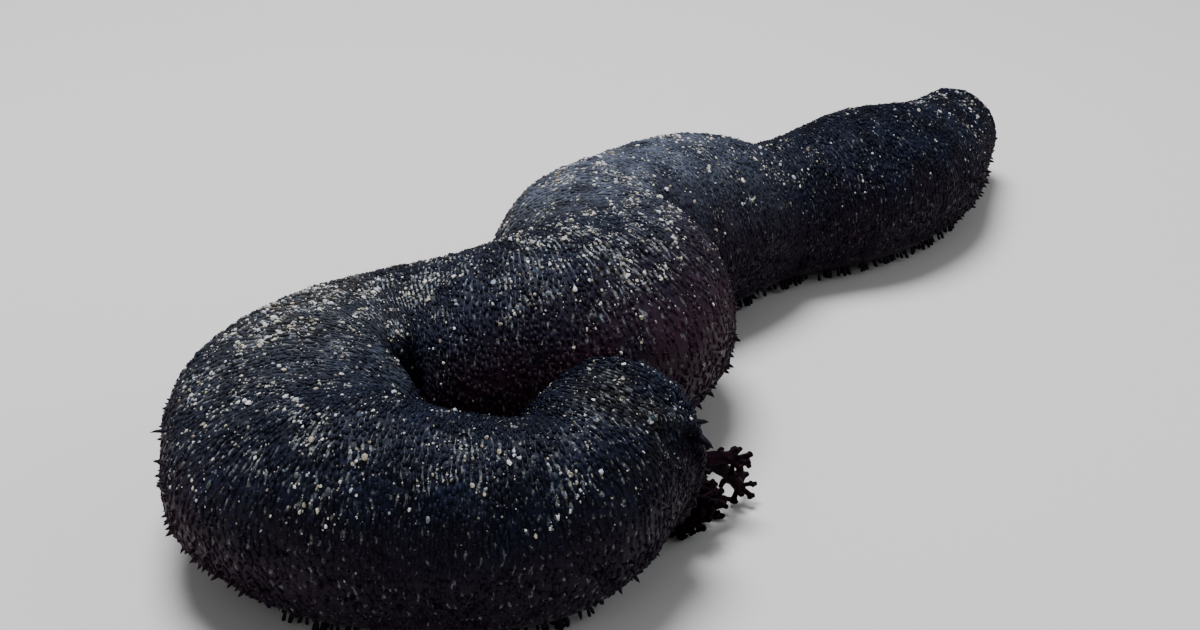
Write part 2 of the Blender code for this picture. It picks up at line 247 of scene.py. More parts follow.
skinSettings = {
    "spacing": 0.80 * mm,  # between rings
    "around": 186,
    "girth": allAround * 19.0 * mm,  # taken as even all along, for patterns
    "inset": 0.25 * mm,  # the granules on it reach the solids' surface
    "hindCapEnd": 0.14,  # the vent's width, as a share of the body's
    "ventDepth": 3.0 * mm,
    "ventRings": 8,
    "puckers": 11,
    "puckerDepth": 0.22,
    "domeLength": 1.15,  # the dome of the head is this much longer than the straight way
    "collarLength": 2.3 * mm,
    "collarRound": 0.7 * mm,
    "collarFloor": 0.8 * mm,
    "lobes": 20,  # in the collar's rim, one for each tentacle
    "lobeDepth": 0.03,
    "soleEnds": (-0.80, -0.45),  # sines of the angles where the flat sole ends and the flank is free
    # how far from the vent and from the end at the mouth the wrinkles begin and are full
    "plainEnds": ((3.0 * mm, 9.0 * mm), (9.0 * mm, 14.0 * mm)),
    "swell": 0.45 * mm,  # soft unevenness of the body wall
    "swellSize": 26.0 * mm,
    "wanderSize": 15.0 * mm,
    "patchSize": 9.0 * mm,
    "wrinkle": 0.16 * mm,  # rings all round the body
    "wrinkleInner": 0.34 * mm,  # deeper where a bend squeezes the skin
    "wrinkleLength": 3.1 * mm,
    # a fold over the face, on the side of the head that looks outwards: how far along the
    # skin and at how many degrees it starts, how the angle grows along it, its length and depth
    "browStart": 320.4 * mm,
    "browAngle": 131.0,
    "browClimb": 2.4 / mm,
    "browLength": 13.0 * mm,
    "browDepth": 1.5 * mm,
    # its crest as a share of the depth, with place and width in degrees below the start, and
    # the degrees below it where the groove under it opens, is full, rises and ends
    "browCrest": (0.75, -5.0, 6.0),
    "browGroove": (-2.0, 3.0, 4.0, 34.0),
    "waistStation": 3.15,  # the crease behind the hump
    "waistWidth": 0.09,
    "waistDepth": 1.1 * mm,
}
columns = skinSettings["around"]
angles = -math.pi / 2.0 + allAround * np.arange(columns) / columns


def mouthRing(radius, advance):
    spokes = np.cos(angles)[:, None] * np.array(mouthSide) + np.sin(angles)[:, None] * np.array(mouthUp)
    return np.array(course["mouthPlace"] + mouthFacing * advance) + spokes * radius


def skinRows():
    s = skinSettings
    stations, marks = evenStations(s["spacing"])
    trunk = bodyRings(stations, angles)
    rings, far = [], []

    # The hind end: the vent's pit, then the round cap
    first = trunk[0]
    row, heading, _ = courseAt(0.0)
    x, y, halfWidth, height = row[0, :4]
    middle = np.array([x, y, height * course["soleDrop"] / (1.0 + course["soleDrop"])])
    back = -np.array([heading[0, 0], heading[0, 1], 0.0])
    endTurn = math.acos(s["hindCapEnd"])
    pucker = s["puckerDepth"] * np.cos(s["puckers"] * angles)
    for k in np.linspace(0.0, 1.0, s["ventRings"] + 1)[:-1]:
        share = s["hindCapEnd"] * math.sin(k * math.pi / 2.0)
        shift = halfWidth * math.sin(endTurn) - s["ventDepth"] * math.cos(k * math.pi / 2.0)
        rings.append(middle + (first - middle) * share * (1.0 + pucker)[:, None] + back * shift)
        far.append(-halfWidth * endTurn - s["ventDepth"] * (1.0 - k))
    count = int(halfWidth * endTurn / s["spacing"])
    for turn in np.linspace(endTurn, 0.0, count)[:-1]:
        fading = 0.6 * smoothStep(0.6, 1.0, turn / endTurn)
        share = math.cos(turn) + fading * pucker * s["hindCapEnd"]
        rings.append(middle + (first - middle) * share[:, None] + back * halfWidth * math.sin(turn))
        far.append(-halfWidth * turn)

    station = [0.0] * len(rings) + list(stations)
    rings.extend(trunk)
    far.extend(marks)

    # The head: a dome down to the collar, the collar, and its inside
    radius, edge, length = course["mouthRadius"], s["collarRound"], s["collarLength"]
    start = trunk[-1]
    end = mouthRing(radius, 0.0)
    ahead = ((end - start) @ np.array(mouthFacing))[:, None] * np.array(mouthFacing)
    span = np.linalg.norm(end - start, axis=1).mean() * s["domeLength"]
    for turn in np.linspace(0.0, math.pi / 2.0, int(span / s["spacing"]))[1:]:
        inward, onward = 1.0 - math.cos(turn), math.sin(turn)
        rings.append(start + ahead * onward + (end - start - ahead) * inward)
        far.append(marks[-1] + span * turn / (math.pi / 2.0))
    profile = [(radius, length * k) for k in (0.25, 0.5, 0.75, 1.0)]
    for turn in np.linspace(0.0, math.pi, 8)[1:]:
        profile.append((radius - edge * (1.0 - math.cos(turn)), length + edge * math.sin(turn)))
    inner = radius - 2.0 * edge
    profile += [(inner * k, s["collarFloor"]) for k in (1.0, 0.75, 0.5, 0.25, 0.0)]
    for across, advance in profile:
        rim = s["lobeDepth"] * smoothStep(0.5 * length, length, advance)
        lobed = across * (1.0 + rim * np.cos(s["lobes"] * angles))
        rings.append(mouthRing(lobed[:, None], advance))
        far.append(far[-1] + s["spacing"])
    station += [last] * (len(rings) - len(station))
    return np.array(rings), np.array(station), np.array(far)


# Which way the surface of a grid of points faces, turned outwards
def gridNormals(points):
    along = np.gradient(points, axis=0)
    around = np.roll(points, -1, axis=1) - np.roll(points, 1, axis=1)
    normal = np.cross(along, around)
    normal /= np.maximum(np.linalg.norm(normal, axis=-1, keepdims=True), 1e-12)
    return normal * np.sign((normal * (points - points.mean(axis=1, keepdims=True))).sum())


skinPoints, skinStation, skinFar = skinRows()
skinNormals = gridNormals(skinPoints)
ringCount = len(skinPoints)
ringNumbers = np.arange(ringCount)


# How tightly the bend squeezes the skin at each point: 0 outside, 1 on a tight inner side
def squeezeAt(station, angle):
    row, _, curvature = courseAt(station)
    return np.clip(curvature[:, None] * row[:, 2:3] * np.cos(angle), 0.0, 1.0)


squeezeGrid = squeezeAt(skinStation, angles)


# From 0 near the vent and near the mouth to 1 between: the distances from each where it starts and ends
def awayFromEnds(hind, mouth):
    return smoothStep(*hind, skinFar - skinFar[0]) * smoothStep(*mouth, skinFar[-1] - skinFar)


# How far along the brow a place is, and how many degrees below its start
def browPlace(far, angle):
    along = far - skinSettings["browStart"]
    return along, np.degrees(angle) - skinSettings["browAngle"] - skinSettings["browClimb"] * along


def shapeSkin():
    s = skinSettings
    free = smoothStep(*s["soleEnds"], np.sin(angles)) * awayFromEnds(*s["plainEnds"])[:, None]
    wander = softNoise(skinPoints, s["wanderSize"], 5)
    phase = allAround * (skinFar[:, None] / s["wrinkleLength"] + 0.7 * wander)
    patches = 0.65 + 0.35 * softNoise(skinPoints, s["patchSize"], 6)
    depth = s["wrinkle"] + (s["wrinkleInner"] - s["wrinkle"]) * smoothStep(0.25, 0.8, squeezeGrid)
    height = depth * patches * np.sin(phase)
    height += 0.5 * depth * np.sin(phase * 1.7 + 2.0 * wander)
    height += s["swell"] * softNoise(skinPoints, s["swellSize"], 7)
    height -= s["inset"]

    # The brow over the face, and the crease behind the hump
    along, below = browPlace(skinFar[:, None], angles)
    reach = smoothStep(0.0, 2.5 * mm, along) * (1.0 - smoothStep(0.8, 1.0, along / s["browLength"]))
    share, place, width = s["browCrest"]
    opens, full, rises, ends = s["browGroove"]
    crest = share * np.exp(-((below - place) / width) ** 2)
    groove = smoothStep(opens, full, below) * (1.0 - smoothStep(rises, ends, below))
    height += s["browDepth"] * reach * (crest - groove)
    waist = (skinStation - s["waistStation"])[:, None] / s["waistWidth"]
    height -= s["waistDepth"] * np.exp(-waist ** 2) * (0.7 + 0.3 * wander)

    points = skinPoints + skinNormals * (height * free - s["inset"] * (1.0 - free))[..., None]
    points[..., 2] = np.maximum(points[..., 2], 0.05 * mm)
    return points


skinPoints = shapeSkin()
skinNormals = gridNormals(skinPoints)


# Soft patches on the body, each falling off round its middle
def bandsAt(bands, station, angle):
    much = 0.0
    for atStation, atAngle, along, around, weight in bands:
        x = (station - atStation) / along
        y = (np.degrees(angle) - atAngle) / around
        much = much + weight * np.exp(-x * x - y * y)
    return much


markings = {
    # station, angle round the body in degrees, reach along in stations, reach round in degrees, how much
    "olive": ((5.2, 122.0, 0.9, 28.0, 1.0), (9.9, 104.0, 0.8, 30.0, 1.0), (15.2, 112.0, 0.5, 34.0, 0.45)),
    "purple": ((6.2, 22.0, 1.3, 34.0, 1.0), (7.6, 8.0, 0.9, 20.0, 1.0), (11.0, 190.0, 0.8, 26.0, 1.0)),
    "backFrom": (-0.1, 0.8),  # sines of the angles where the back begins and is full
    "backSize": 11.0 * mm,  # of the unevenness of each
    "oliveSize": 7.0 * mm,
    "purpleSize": 12.0 * mm,
}


# The markings that skin and coat share: how far up the back, which also places the back's painted sheen, how
# olive, how purple
def marksAndSheenAt(station, angle, points):
    m = markings
    marks = np.ones(points.shape[:-1] + (4,))
    uneven = 0.12 * softNoise(points, m["backSize"], 21)
    marks[..., 0] = smoothStep(*m["backFrom"], np.sin(angle) + uneven)
    olive = np.clip(0.8 + 0.5 * softNoise(points, m["oliveSize"], 22), 0.0, 1.0)
    marks[..., 1] = bandsAt(m["olive"], station, angle) * olive
    purple = np.clip(0.9 + 0.3 * softNoise(points, m["purpleSize"], 23), 0.0, 1.0)
    marks[..., 2] = bandsAt(m["purple"], station, angle) * purple
    return np.clip(marks, 0.0, 1.0)


def setAttribute(mesh, name, kind, values):
    key = {"FLOAT": "value", "FLOAT_COLOR": "color", "FLOAT_VECTOR": "vector"}[kind]
    mesh.attributes.new(name, kind, "POINT").data.foreach_set(key, values.astype(np.float32).ravel())


# The fine wrinkles run round the body in rows: how far apart, and how far they stray from rings
rowSettings = {
    "spacing": 0.78 * mm,
    "start": skinFar[0] + 4.0 * mm,
    "waver": 0.45 * mm,
    "waverSize": 5.5 * mm,
}


# How far the rows stray at each place, counted in rings of the skin
def rowWaver(place):
    s = rowSettings
    return s["waver"] / skinSettings["spacing"] * softNoise(place, s["waverSize"], 33)


# The number of the row at each place: whole on a wrinkle, and a half more in the groove after it
def rowAt(ring, place):
    far = np.interp(ring - rowWaver(place), ringNumbers, skinFar)
    return (far - rowSettings["start"]) / rowSettings["spacing"]


# Where sand and silt lie: thinly all over the back, and thick in a few bands

siltSettings = {
    # bands as in markings
    "bands": (
        (10.2, 106.0, 1.0, 31.0, 1.05), (9.0, 84.0, 0.8, 42.0, 0.6), (7.2, 78.0, 1.3, 34.0, 0.85),
        (12.9, 120.0, 1.3, 26.0, 0.5), (15.2, 112.0, 0.9, 46.0, 0.5), (4.9, 96.0, 1.1, 52.0, 0.8),
        (0.6, 80.0, 0.8, 60.0, 0.15),
    ),
    # dull blue-grey silt, finer than any grain
    "haze": (
        (5.0, 100.0, 1.1, 50.0, 1.0), (3.9, 60.0, 0.7, 50.0, 0.12), (10.3, 100.0, 1.1, 60.0, 0.20),
        (10.6, 40.0, 0.9, 40.0, 0.22), (7.4, 80.0, 1.4, 40.0, 0.06), (12.8, 108.0, 1.4, 36.0, 0.05),
    ),
    # where the grains are cleaner and larger
    "fresh": ((10.3, 102.0, 0.9, 36.0, 1.0), (7.4, 84.0, 0.8, 34.0, 0.5)),
    # a line of silt on the crest of the brow: how much, place and width in degrees
    "browSilt": (0.9, -4.0, 3.0),
    "elsewhere": 0.13,
    "least": 0.10,  # between the clumps
    "flank": 0.0022,
    "purpleLoss": 0.7,  # where the skin is purple
    "backFrom": (0.08, 0.66),  # how far the skin faces up where the back's silt begins and is full
    "flankFrom": (-0.55, 0.0),
    "headFrom": (14.2, 14.9),  # from here on it lies more evenly
    "headEven": 0.65,
    "evenMuch": 0.26,
    "clumpSize": 6.0 * mm,
    "patchSize": 19.0 * mm,
    "hazeSize": 8.0 * mm,
}


def browSilt(station, angle):
    amount, place, width = siltSettings["browSilt"]
    along, below = browPlace(np.interp(station, skinStation, skinFar), angle)
    reach = smoothStep(0.0, 2.0 * mm, along) * (1.0 - smoothStep(7.0 * mm, 9.5 * mm, along))
    return amount * reach * np.exp(-((below - place) / width) ** 2)


def siltAt(station, angle, points, facingUp):
    s = siltSettings
    much = s["elsewhere"] + bandsAt(s["bands"], station, angle)
    clumps = smoothStep(-0.55, 0.75, softNoise(points, s["clumpSize"], 41))
    patches = smoothStep(-0.9, 0.5, softNoise(points, s["patchSize"], 42))
    even = s["headEven"] * smoothStep(*s["headFrom"], station)
    thin = s["least"] + (1.0 - s["least"]) * (clumps * patches * (1.0 - even) + s["evenMuch"] * even)
    bare = 1.0 - s["purpleLoss"] * marksAndSheenAt(station, angle, points)[..., 2]
    onBack = (much * bare * thin + browSilt(station, angle)) * smoothStep(*s["backFrom"], facingUp)
    onFlank = s["flank"] * smoothStep(*s["flankFrom"], facingUp)
    return np.clip(onBack + onFlank, 0.0, 1.2)


def hazeAt(station, angle, points):
    uneven = 0.8 + 0.35 * softNoise(points, siltSettings["hazeSize"], 43)
    return np.clip(bandsAt(siltSettings["haze"], station, angle) * uneven, 0.0, 1.0)


# A flat grid is wrapped round the body, and its seam and both poles are closed
def makeSkin():
    bpy.ops.mesh.primitive_grid_add(x_subdivisions=ringCount - 1, y_subdivisions=columns, size=1.0)
    skin = bpy.context.object
    skin.name = "skin"
    mesh = skin.data
    flat = np.empty(len(mesh.vertices) * 3)
    mesh.vertices.foreach_get("co", flat)
    x, y, _ = flat.reshape(-1, 3).T + 0.5
    ring = np.rint(x * (ringCount - 1)).astype(int)
    column = np.rint(y * columns).astype(int)
    wrapped = skinPoints[ring, column % columns]
    mesh.vertices.foreach_set("co", wrapped.ravel())
    station = skinStation[ring]
    angle = -math.pi / 2.0 + allAround * column / columns
    up = skinNormals[ring, column % columns][:, 2]
    lie = np.stack([skinFar[ring], skinSettings["girth"] * column / columns, 0.0 * ring], 1)
    setAttribute(mesh, "marks", "FLOAT_COLOR", marksAndSheenAt(station, angle, wrapped))
    setAttribute(mesh, "silt", "FLOAT", siltAt(station, angle, wrapped, up))
    setAttribute(mesh, "haze", "FLOAT", hazeAt(station, angle, wrapped))
    setAttribute(mesh, "row", "FLOAT", rowAt(ring, wrapped))
    setAttribute(mesh, "lie", "FLOAT_VECTOR", lie)
    mesh.uv_layers[0].name = "OFBake"
    mesh.update()
    bpy.ops.object.mode_set(mode="EDIT")
    bpy.ops.mesh.select_all(action="SELECT")
    bpy.ops.mesh.remove_doubles(threshold=0.001 * mm)
    bpy.ops.mesh.normals_make_consistent(inside=False)
    bpy.ops.object.mode_set(mode="OBJECT")
    bpy.ops.object.shade_smooth()
    return skin


skin = makeSkin()
print("stage: skin wrapped,", len(skin.data.polygons), "faces")


# Reading the finished skin anywhere between its points

def pick(grid, ring, column):
    i = np.clip(ring.astype(int), 0, ringCount - 2)
    j = np.floor(column).astype(int)
    a = ring - i
    b = column - j
    if grid.ndim == 3:
        a, b = a[:, None], b[:, None]
    j, k = j % columns, (j + 1) % columns
    near = grid[i, j] * (1 - b) + grid[i, k] * b
    far = grid[i + 1, j] * (1 - b) + grid[i + 1, k] * b
    return near * (1 - a) + far * a


alongStep = np.linalg.norm(np.gradient(skinPoints, axis=0), axis=-1)
aroundStep = np.linalg.norm(np.roll(skinPoints, -1, axis=1) - skinPoints, axis=-1)
ringArea = alongStep * aroundStep


def roots(ring, column):
    place = pick(skinPoints, ring, column)
    facing = pick(skinNormals, ring, column)
    facing /= np.linalg.norm(facing, axis=1, keepdims=True)
    ahead = pick(skinPoints, ring + 0.5, column) - pick(skinPoints, ring - 0.5, column)
    ahead -= facing * (ahead * facing).sum(1, keepdims=True)
    ahead /= np.maximum(np.linalg.norm(ahead, axis=1, keepdims=True), 1e-9)
    return {
        "ring": ring, "column": column, "place": place, "facing": facing, "ahead": ahead,
        "across": np.cross(facing, ahead),
        "angle": -math.pi / 2.0 + allAround * column / columns,
        "station": np.interp(ring, ringNumbers, skinStation),
    }


# Random places on the skin: so many to the area, thinned by how likely each place is
def scatter(likely, perArea, draw):
    expected = ringArea * likely * perArea
    count = int(expected.sum())
    chosen = draw.choice(expected.size, size=count, p=(expected / expected.sum()).ravel())
    ring = chosen // columns + draw.uniform(-0.5, 0.5, count)
    column = chosen % columns + draw.uniform(0.0, 1.0, count)
    return roots(np.clip(ring, 0.5, ringCount - 2.5), column)


# Draws the top faces of the active piece out: each step is a rise and then a change of size across
def drawOut(steps, isTop=lambda face: face.normal.z > 0.9, toPoint=True):
    bpy.ops.object.mode_set(mode="EDIT")
    bpy.ops.mesh.select_all(action="DESELECT")
    work = bmesh.from_edit_mesh(bpy.context.object.data)
    for face in work.faces:
        face.select_set(isTop(face))
    for rise, size in steps:
        if rise:
            bpy.ops.mesh.extrude_region_move(TRANSFORM_OT_translate={"value": (0.0, 0.0, rise)})
        bpy.ops.transform.resize(value=(size, size, 1.0))
    if toPoint:
        bpy.ops.mesh.merge(type="CENTER")
    bpy.ops.object.mode_set(mode="OBJECT")


# The shape of a master piece as points and triangles, and the piece is then removed
def takeMaster():
    piece = bpy.context.object
    bpy.ops.object.mode_set(mode="EDIT")
    bpy.ops.mesh.select_all(action="SELECT")
    bpy.ops.mesh.quads_convert_to_tris()
    bpy.ops.object.mode_set(mode="OBJECT")
    points = np.array([v.co for v in piece.data.vertices])
    faces = np.array([p.vertices[:] for p in piece.data.polygons])
    mesh = piece.data
    bpy.data.objects.remove(piece)
    bpy.data.meshes.remove(mesh)
    return points, faces


coatSettings = {
    "mostTriangles": 195000,  # in one piece
    "bakePatch": 0.0015,  # half the side of each copy's patch of the UV map
    "lowest": 0.02 * mm,
}


# Copies of a master at every root, joined in pieces; extra has values for each copy or each point
def makeCoat(name, master, at, shaped, extra, smooth=True):
    points, faces = master
    count = len(at["place"])
    perPiece = coatSettings["mostTriangles"] // len(faces)
    local = points[:, :2] / np.abs(points[:, :2]).max() * coatSettings["bakePatch"]
    pieces = []
    order = np.argsort(at["ring"], kind="stable")
    for number, start in enumerate(range(0, count, perPiece)):
        chosen = order[start:start + perPiece]
        corners = shaped[chosen].reshape(-1, 3)
        corners[:, 2] = np.maximum(corners[:, 2], coatSettings["lowest"])
        faceCount = len(chosen) * len(faces)
        links = (faces[None] + (np.arange(len(chosen)) * len(points))[:, None, None]).reshape(-1)
        mesh = bpy.data.meshes.new(name)
        mesh.vertices.add(len(corners))
        mesh.vertices.foreach_set("co", corners.astype(np.float32).ravel())
        mesh.loops.add(faceCount * 3)
        mesh.loops.foreach_set("vertex_index", links.astype(np.int32))
        mesh.polygons.add(faceCount)
        mesh.polygons.foreach_set("loop_start", np.arange(faceCount, dtype=np.int32) * 3)
        mesh.update(calc_edges=True)
        mesh.polygons.foreach_set("use_smooth", np.full(faceCount, smooth))
        marks = marksAndSheenAt(at["station"][chosen], at["angle"][chosen], at["place"][chosen])
        setAttribute(mesh, "marks", "FLOAT_COLOR", np.repeat(marks, len(points), axis=0))
        for key, values in extra.items():
            values = values[chosen]
            if values.ndim == 1:
                values = np.repeat(values, len(points))
            setAttribute(mesh, key, "FLOAT", values)
        patch = np.stack([at["ring"] / (ringCount - 1), (at["column"] / columns) % 1.0], 1)[chosen]
        uv = (patch[:, None, :] + local[None]).reshape(-1, 2)
        layer = mesh.uv_layers.new(name="OFBake")
        layer.data.foreach_set("uv", uv[links].astype(np.float32).ravel())
        mesh.validate()
        piece = bpy.data.objects.new(f"{name}_{number + 1}", mesh)
        bpy.context.scene.collection.objects.link(piece)
        pieces.append(piece)
    print("stage:", name, count, "copies in", len(pieces), "pieces")
    return pieces


# Sets points at each root, turned about the way it faces: x goes across, y ahead and z outwards
def setOut(points, at, across, ahead, outwards, turn, lift=0.0, lean=None):
    x, y, z = np.moveaxis(points, -1, 0)
    c, s = np.cos(turn)[:, None], np.sin(turn)[:, None]
    u = (c * x - s * y) * across[:, None]
    v = (s * x + c * y) * ahead[:, None]
    w = z * outwards[:, None] + lift
    shaped = at["place"][:, None] + u[..., None] * at["across"][:, None]
    shaped += v[..., None] * at["ahead"][:, None]
    shaped += w[..., None] * at["facing"][:, None]
    if lean is not None:
        shaped += np.clip(z, 0.0, None)[..., None] ** 2 * lean[:, None]
    return shaped


# Granules: the low, broken wrinkles that ring the whole body, a bead at a time

granuleSettings = {
    "beadSpacing": 1.2 * mm,
    "beadLength": 0.60,  # half a bead's length, as a share of their spacing
    "beadWidth": 0.42,  # half its width, as a share of the rows' spacing
    "uneven": 0.30,  # how much their spacing varies, as a share of it
    "stray": 0.08 * mm,  # how far a single bead strays from its row
    "beforeMouth": 14.5 * mm,  # how far before the end of the skin the last row lies
    "missing": 0.06,
    "height": 0.33 * mm,
    "room": (0.3, 1.35),  # least and most of their usual room, as a bend crowds or spreads the rows
    "widths": (0.8, 1.15),  # how the beads vary, as shares
    "lengths": (0.6, 1.4),
    "heights": (0.45, 1.5),
    "roughSize": 8.0 * mm,
    "turn": 0.12,
    "sides": 6,
    "lowest": -0.62,  # sine of the angle where the rings end above the sole
    "siltChance": 0.26,  # how many granules are dusted pale where the silt is thickest
    "dust": 0.75,
    "dustOnTop": 0.45,  # most of the dust lies round a bead's foot
    "seed": 11,
}


def granuleMaster():
    bpy.ops.mesh.primitive_cylinder_add(
        vertices=granuleSettings["sides"], radius=1.0, depth=1.0, location=(0.0, 0.0, 0.0))
    drawOut(((0.0, 0.78), (0.45, 1.0)))
    return takeMaster()


def granuleRoots(draw):
    s = granuleSettings
    top = skinFar[-1] - s["beforeMouth"]
    rings, places = [], []
    for far in np.arange(rowSettings["start"], top, rowSettings["spacing"]):
        ring = np.interp(far, skinFar, ringNumbers)
        line = pick(skinPoints, np.full(columns, ring), np.arange(columns, dtype=float))
        lengths = np.linalg.norm(np.roll(line, -1, axis=0) - line, axis=1)
        reached = np.concatenate([[0.0], np.cumsum(lengths)])
        marks = np.arange(draw.uniform(0.0, s["beadSpacing"]), reached[-1], s["beadSpacing"])
        marks = marks + draw.normal(0.0, s["uneven"] * s["beadSpacing"], len(marks))
        column = np.interp(np.clip(marks, 0.0, reached[-1] - 1e-6), reached, np.arange(columns + 1.0))
        place = pick(skinPoints, np.full(len(column), ring), column)
        stray = draw.normal(0.0, s["stray"] / skinSettings["spacing"], len(column))
        rings.append(np.clip(ring + rowWaver(place) + stray, 1.0, ringCount - 3.0))
        places.append(column)
    ring, column = np.concatenate(rings), np.concatenate(places)
    keep = np.sin(-math.pi / 2.0 + allAround * column / columns) > s["lowest"]
    keep &= draw.uniform(size=len(keep)) > s["missing"]
    return roots(ring[keep], column[keep])


def makeGranules():
    s = granuleSettings
    draw = np.random.default_rng(s["seed"])
    master = granuleMaster()
    at = granuleRoots(draw)
    count = len(at["ring"])
    room = np.clip(pick(alongStep, at["ring"], at["column"]) / skinSettings["spacing"], *s["room"])
    rough = 1.0 + 0.35 * softNoise(at["place"], s["roughSize"], 31)
    ahead = s["beadWidth"] * rowSettings["spacing"] * room * draw.uniform(*s["widths"], count)
    across = s["beadLength"] * s["beadSpacing"] * draw.uniform(*s["lengths"], count)
    tall = s["height"] * draw.uniform(*s["heights"], count) * np.clip(room, 0.5, 1.1) * rough
    lean = at["across"] * draw.normal(0.0, 0.10, (count, 1)) * mm
    turn = draw.normal(0.0, s["turn"], count)
    shaped = setOut(master[0], at, across, ahead, tall, turn, lean=lean)
    silt = siltAt(at["station"], at["angle"], at["place"], at["facing"][:, 2])
    dusted = draw.uniform(size=count) < s["siltChance"] * silt
    dust = np.where(dusted, s["dust"] * draw.uniform(0.25, 1.0, count) ** 2, 0.0)
    rim = np.where(master[0][:, 2] > 0.8, s["dustOnTop"], 1.0)
    haze = hazeAt(at["station"], at["angle"], at["place"])
    extra = {"haze": haze, "dust": dust[:, None] * rim, "tone": draw.uniform(size=count)}
    return makeCoat("granules", master, at, shaped, extra)


granules = makeGranules()


# Papillae: pointed warts, long and close together low on the flanks, small on the back

papillaSettings = {
    "perArea": 0.135 / (mm * mm),
    "sides": 6,
    "longest": 2.6 * mm,
    "backLength": 0.8 * mm,
    "shortest": 0.30,  # as a share of the full length
    "rarity": 1.8,  # how rare the long ones are
    "droop": (-0.25, 0.35),  # how far they lean down, ahead and across, as shares of their length
    "leanAhead": 0.22,
    "leanAcross": 0.18,
    "thickness": 0.25,  # half the width, as a share of the length
    "slimmest": 0.18 * mm,
    "root": 0.5 * mm,
    "gap": 0.4 * mm,  # left free before another length of the body
    "backLoss": 0.62,  # how many fewer stand on the back
    "bendLoss": 0.85,  # how many fewer where a bend squeezes the skin
    "soleEnds": (-0.78, -0.6),
    "bareEnds": ((5.0 * mm, 9.0 * mm), (14.0 * mm, 16.0 * mm)),  # as the skin's plainEnds
    "bareLow": 4.5 * mm,  # about this height and below they are few and short
    # the large ones at the outline: how far along the skin, angle in degrees, length and width
    "large": (
        (332.7, 159.0, 4.3, 1.35), (333.7, 147.0, 3.3, 1.0), (333.3, 137.0, 3.0, 0.9),
        (332.9, 171.0, 1.5, 0.9), (329.9, 122.0, 1.7, 0.7), (326.9, 166.0, 1.4, 0.55),
        (252.9, 158.0, 4.0, 0.7), (256.9, 160.0, 2.0, 0.6), (257.9, 164.0, 2.5, 0.66),
        (258.7, 167.0, 1.8, 0.55), (259.5, 169.5, 2.3, 0.62), (260.9, 171.0, 2.0, 0.6),
        (262.7, 175.5, 1.7, 0.55),
        (168.0, 4.0, 2.3, 0.9), (170.0, -8.0, 2.2, 0.85), (172.0, -18.0, 2.4, 0.9), (165.5, -2.0, 1.9, 0.8),
        (175.0, -27.0, 2.2, 0.8), (162.0, 8.0, 1.9, 0.75), (178.0, -20.0, 1.9, 0.75),
    ),
    "seed": 12,
}


def papillaMaster():
    bpy.ops.mesh.primitive_cone_add(
        vertices=papillaSettings["sides"], radius1=1.0, radius2=0.62, depth=0.45, location=(0.0, 0.0, 0.225))
    drawOut(((0.35, 0.58), (0.2, 1.0)))
    return takeMaster()


# How much room there is between each point and any other length of the body
def roomBeside(points, station):
    other = np.linspace(0.0, last, 90)
    row = courseAt(other)[0]
    gap = np.linalg.norm(points[:, None, :2] - row[:, :2], axis=-1) - row[:, 2]
    apart = np.abs(other - station[:, None]) > 2.5
    return np.where(apart, gap, 1.0).min(axis=1)


def makePapillae():
    s = papillaSettings
    draw = np.random.default_rng(s["seed"])
    master = papillaMaster()
    bareLow = (0.5 * s["bareLow"], 1.5 * s["bareLow"])
    sine = np.sin(angles)
    likely = (1.0 - s["backLoss"] * smoothStep(0.05, 0.75, sine)) * smoothStep(*s["soleEnds"], sine)
    likely = likely * (1.0 - s["bendLoss"] * smoothStep(0.3, 0.7, squeezeGrid))
    likely *= 0.45 + 0.55 * smoothStep(*bareLow, skinPoints[..., 2])
    likely *= awayFromEnds(*s["bareEnds"])[:, None]
    at = scatter(likely, s["perArea"], draw)
    far, angle, tall, wide = np.array(s["large"]).T
    ring = np.interp(far * mm, skinFar, ringNumbers)
    at = roots(np.append(at["ring"], ring), np.append(at["column"], (angle + 90.0) / 360.0 * columns))
    count = len(at["ring"])
    upward = smoothStep(-0.3, 0.85, np.sin(at["angle"]))
    length = s["backLength"] + (s["longest"] - s["backLength"]) * (1.0 - upward)
    length *= s["shortest"] + (1.0 - s["shortest"]) * draw.uniform(size=count) ** s["rarity"]
    length *= 0.55 + 0.45 * smoothStep(*bareLow, at["place"][:, 2])
    room = roomBeside(at["place"], at["station"])
    length = np.minimum(length, np.clip(room - s["gap"], s["gap"], None))
    width = s["thickness"] * length + s["slimmest"]
    length[-len(far):] = tall * mm
    width[-len(far):] = wide * mm
    lean = np.array([0.0, 0.0, -1.0]) * (length * draw.uniform(*s["droop"], count))[:, None]
    lean += at["ahead"] * (length * draw.normal(0.0, s["leanAhead"], count))[:, None]
    lean += at["across"] * (length * draw.normal(0.0, s["leanAcross"], count))[:, None]
    turn = draw.uniform(0.0, allAround, count)
    shaped = setOut(master[0], at, width, width, length + s["root"], turn, lift=-s["root"], lean=lean)
    tip = np.tile(np.clip(master[0][:, 2], 0.0, 1.0), (count, 1))
    haze = hazeAt(at["station"], at["angle"], at["place"])
    return makeCoat("papillae", master, at, shaped, {"tip": tip, "haze": haze})


papillae = makePapillae()


# Tube feet: the stubby feet that show along the lower edge, with their suckers on the floor

footSettings = {
    "perArea": 0.42 / (mm * mm),
    "radius": 0.26 * mm,
    "highest": 3.4 * mm,
    "outwards": 0.8 * mm,  # how far they usually reach from the body
    "reaches": (0.3, 1.3),  # and how that varies
    "radii": (0.75, 1.15),
    "gap": 0.4 * mm,  # left free before another length of the body
    "rootDepth": 0.3 * mm,
    "bulge": 0.5 * mm,
    "sole": 0.03 * mm,
    "seed": 13,
}


def footMaster():
    bpy.ops.mesh.primitive_cylinder_add(vertices=7, radius=1.0, depth=0.5, location=(0.0, 0.0, 0.25))
    drawOut(((0.0, 0.8), (0.38, 1.75), (0.12, 0.85)), toPoint=False)
    return takeMaster()


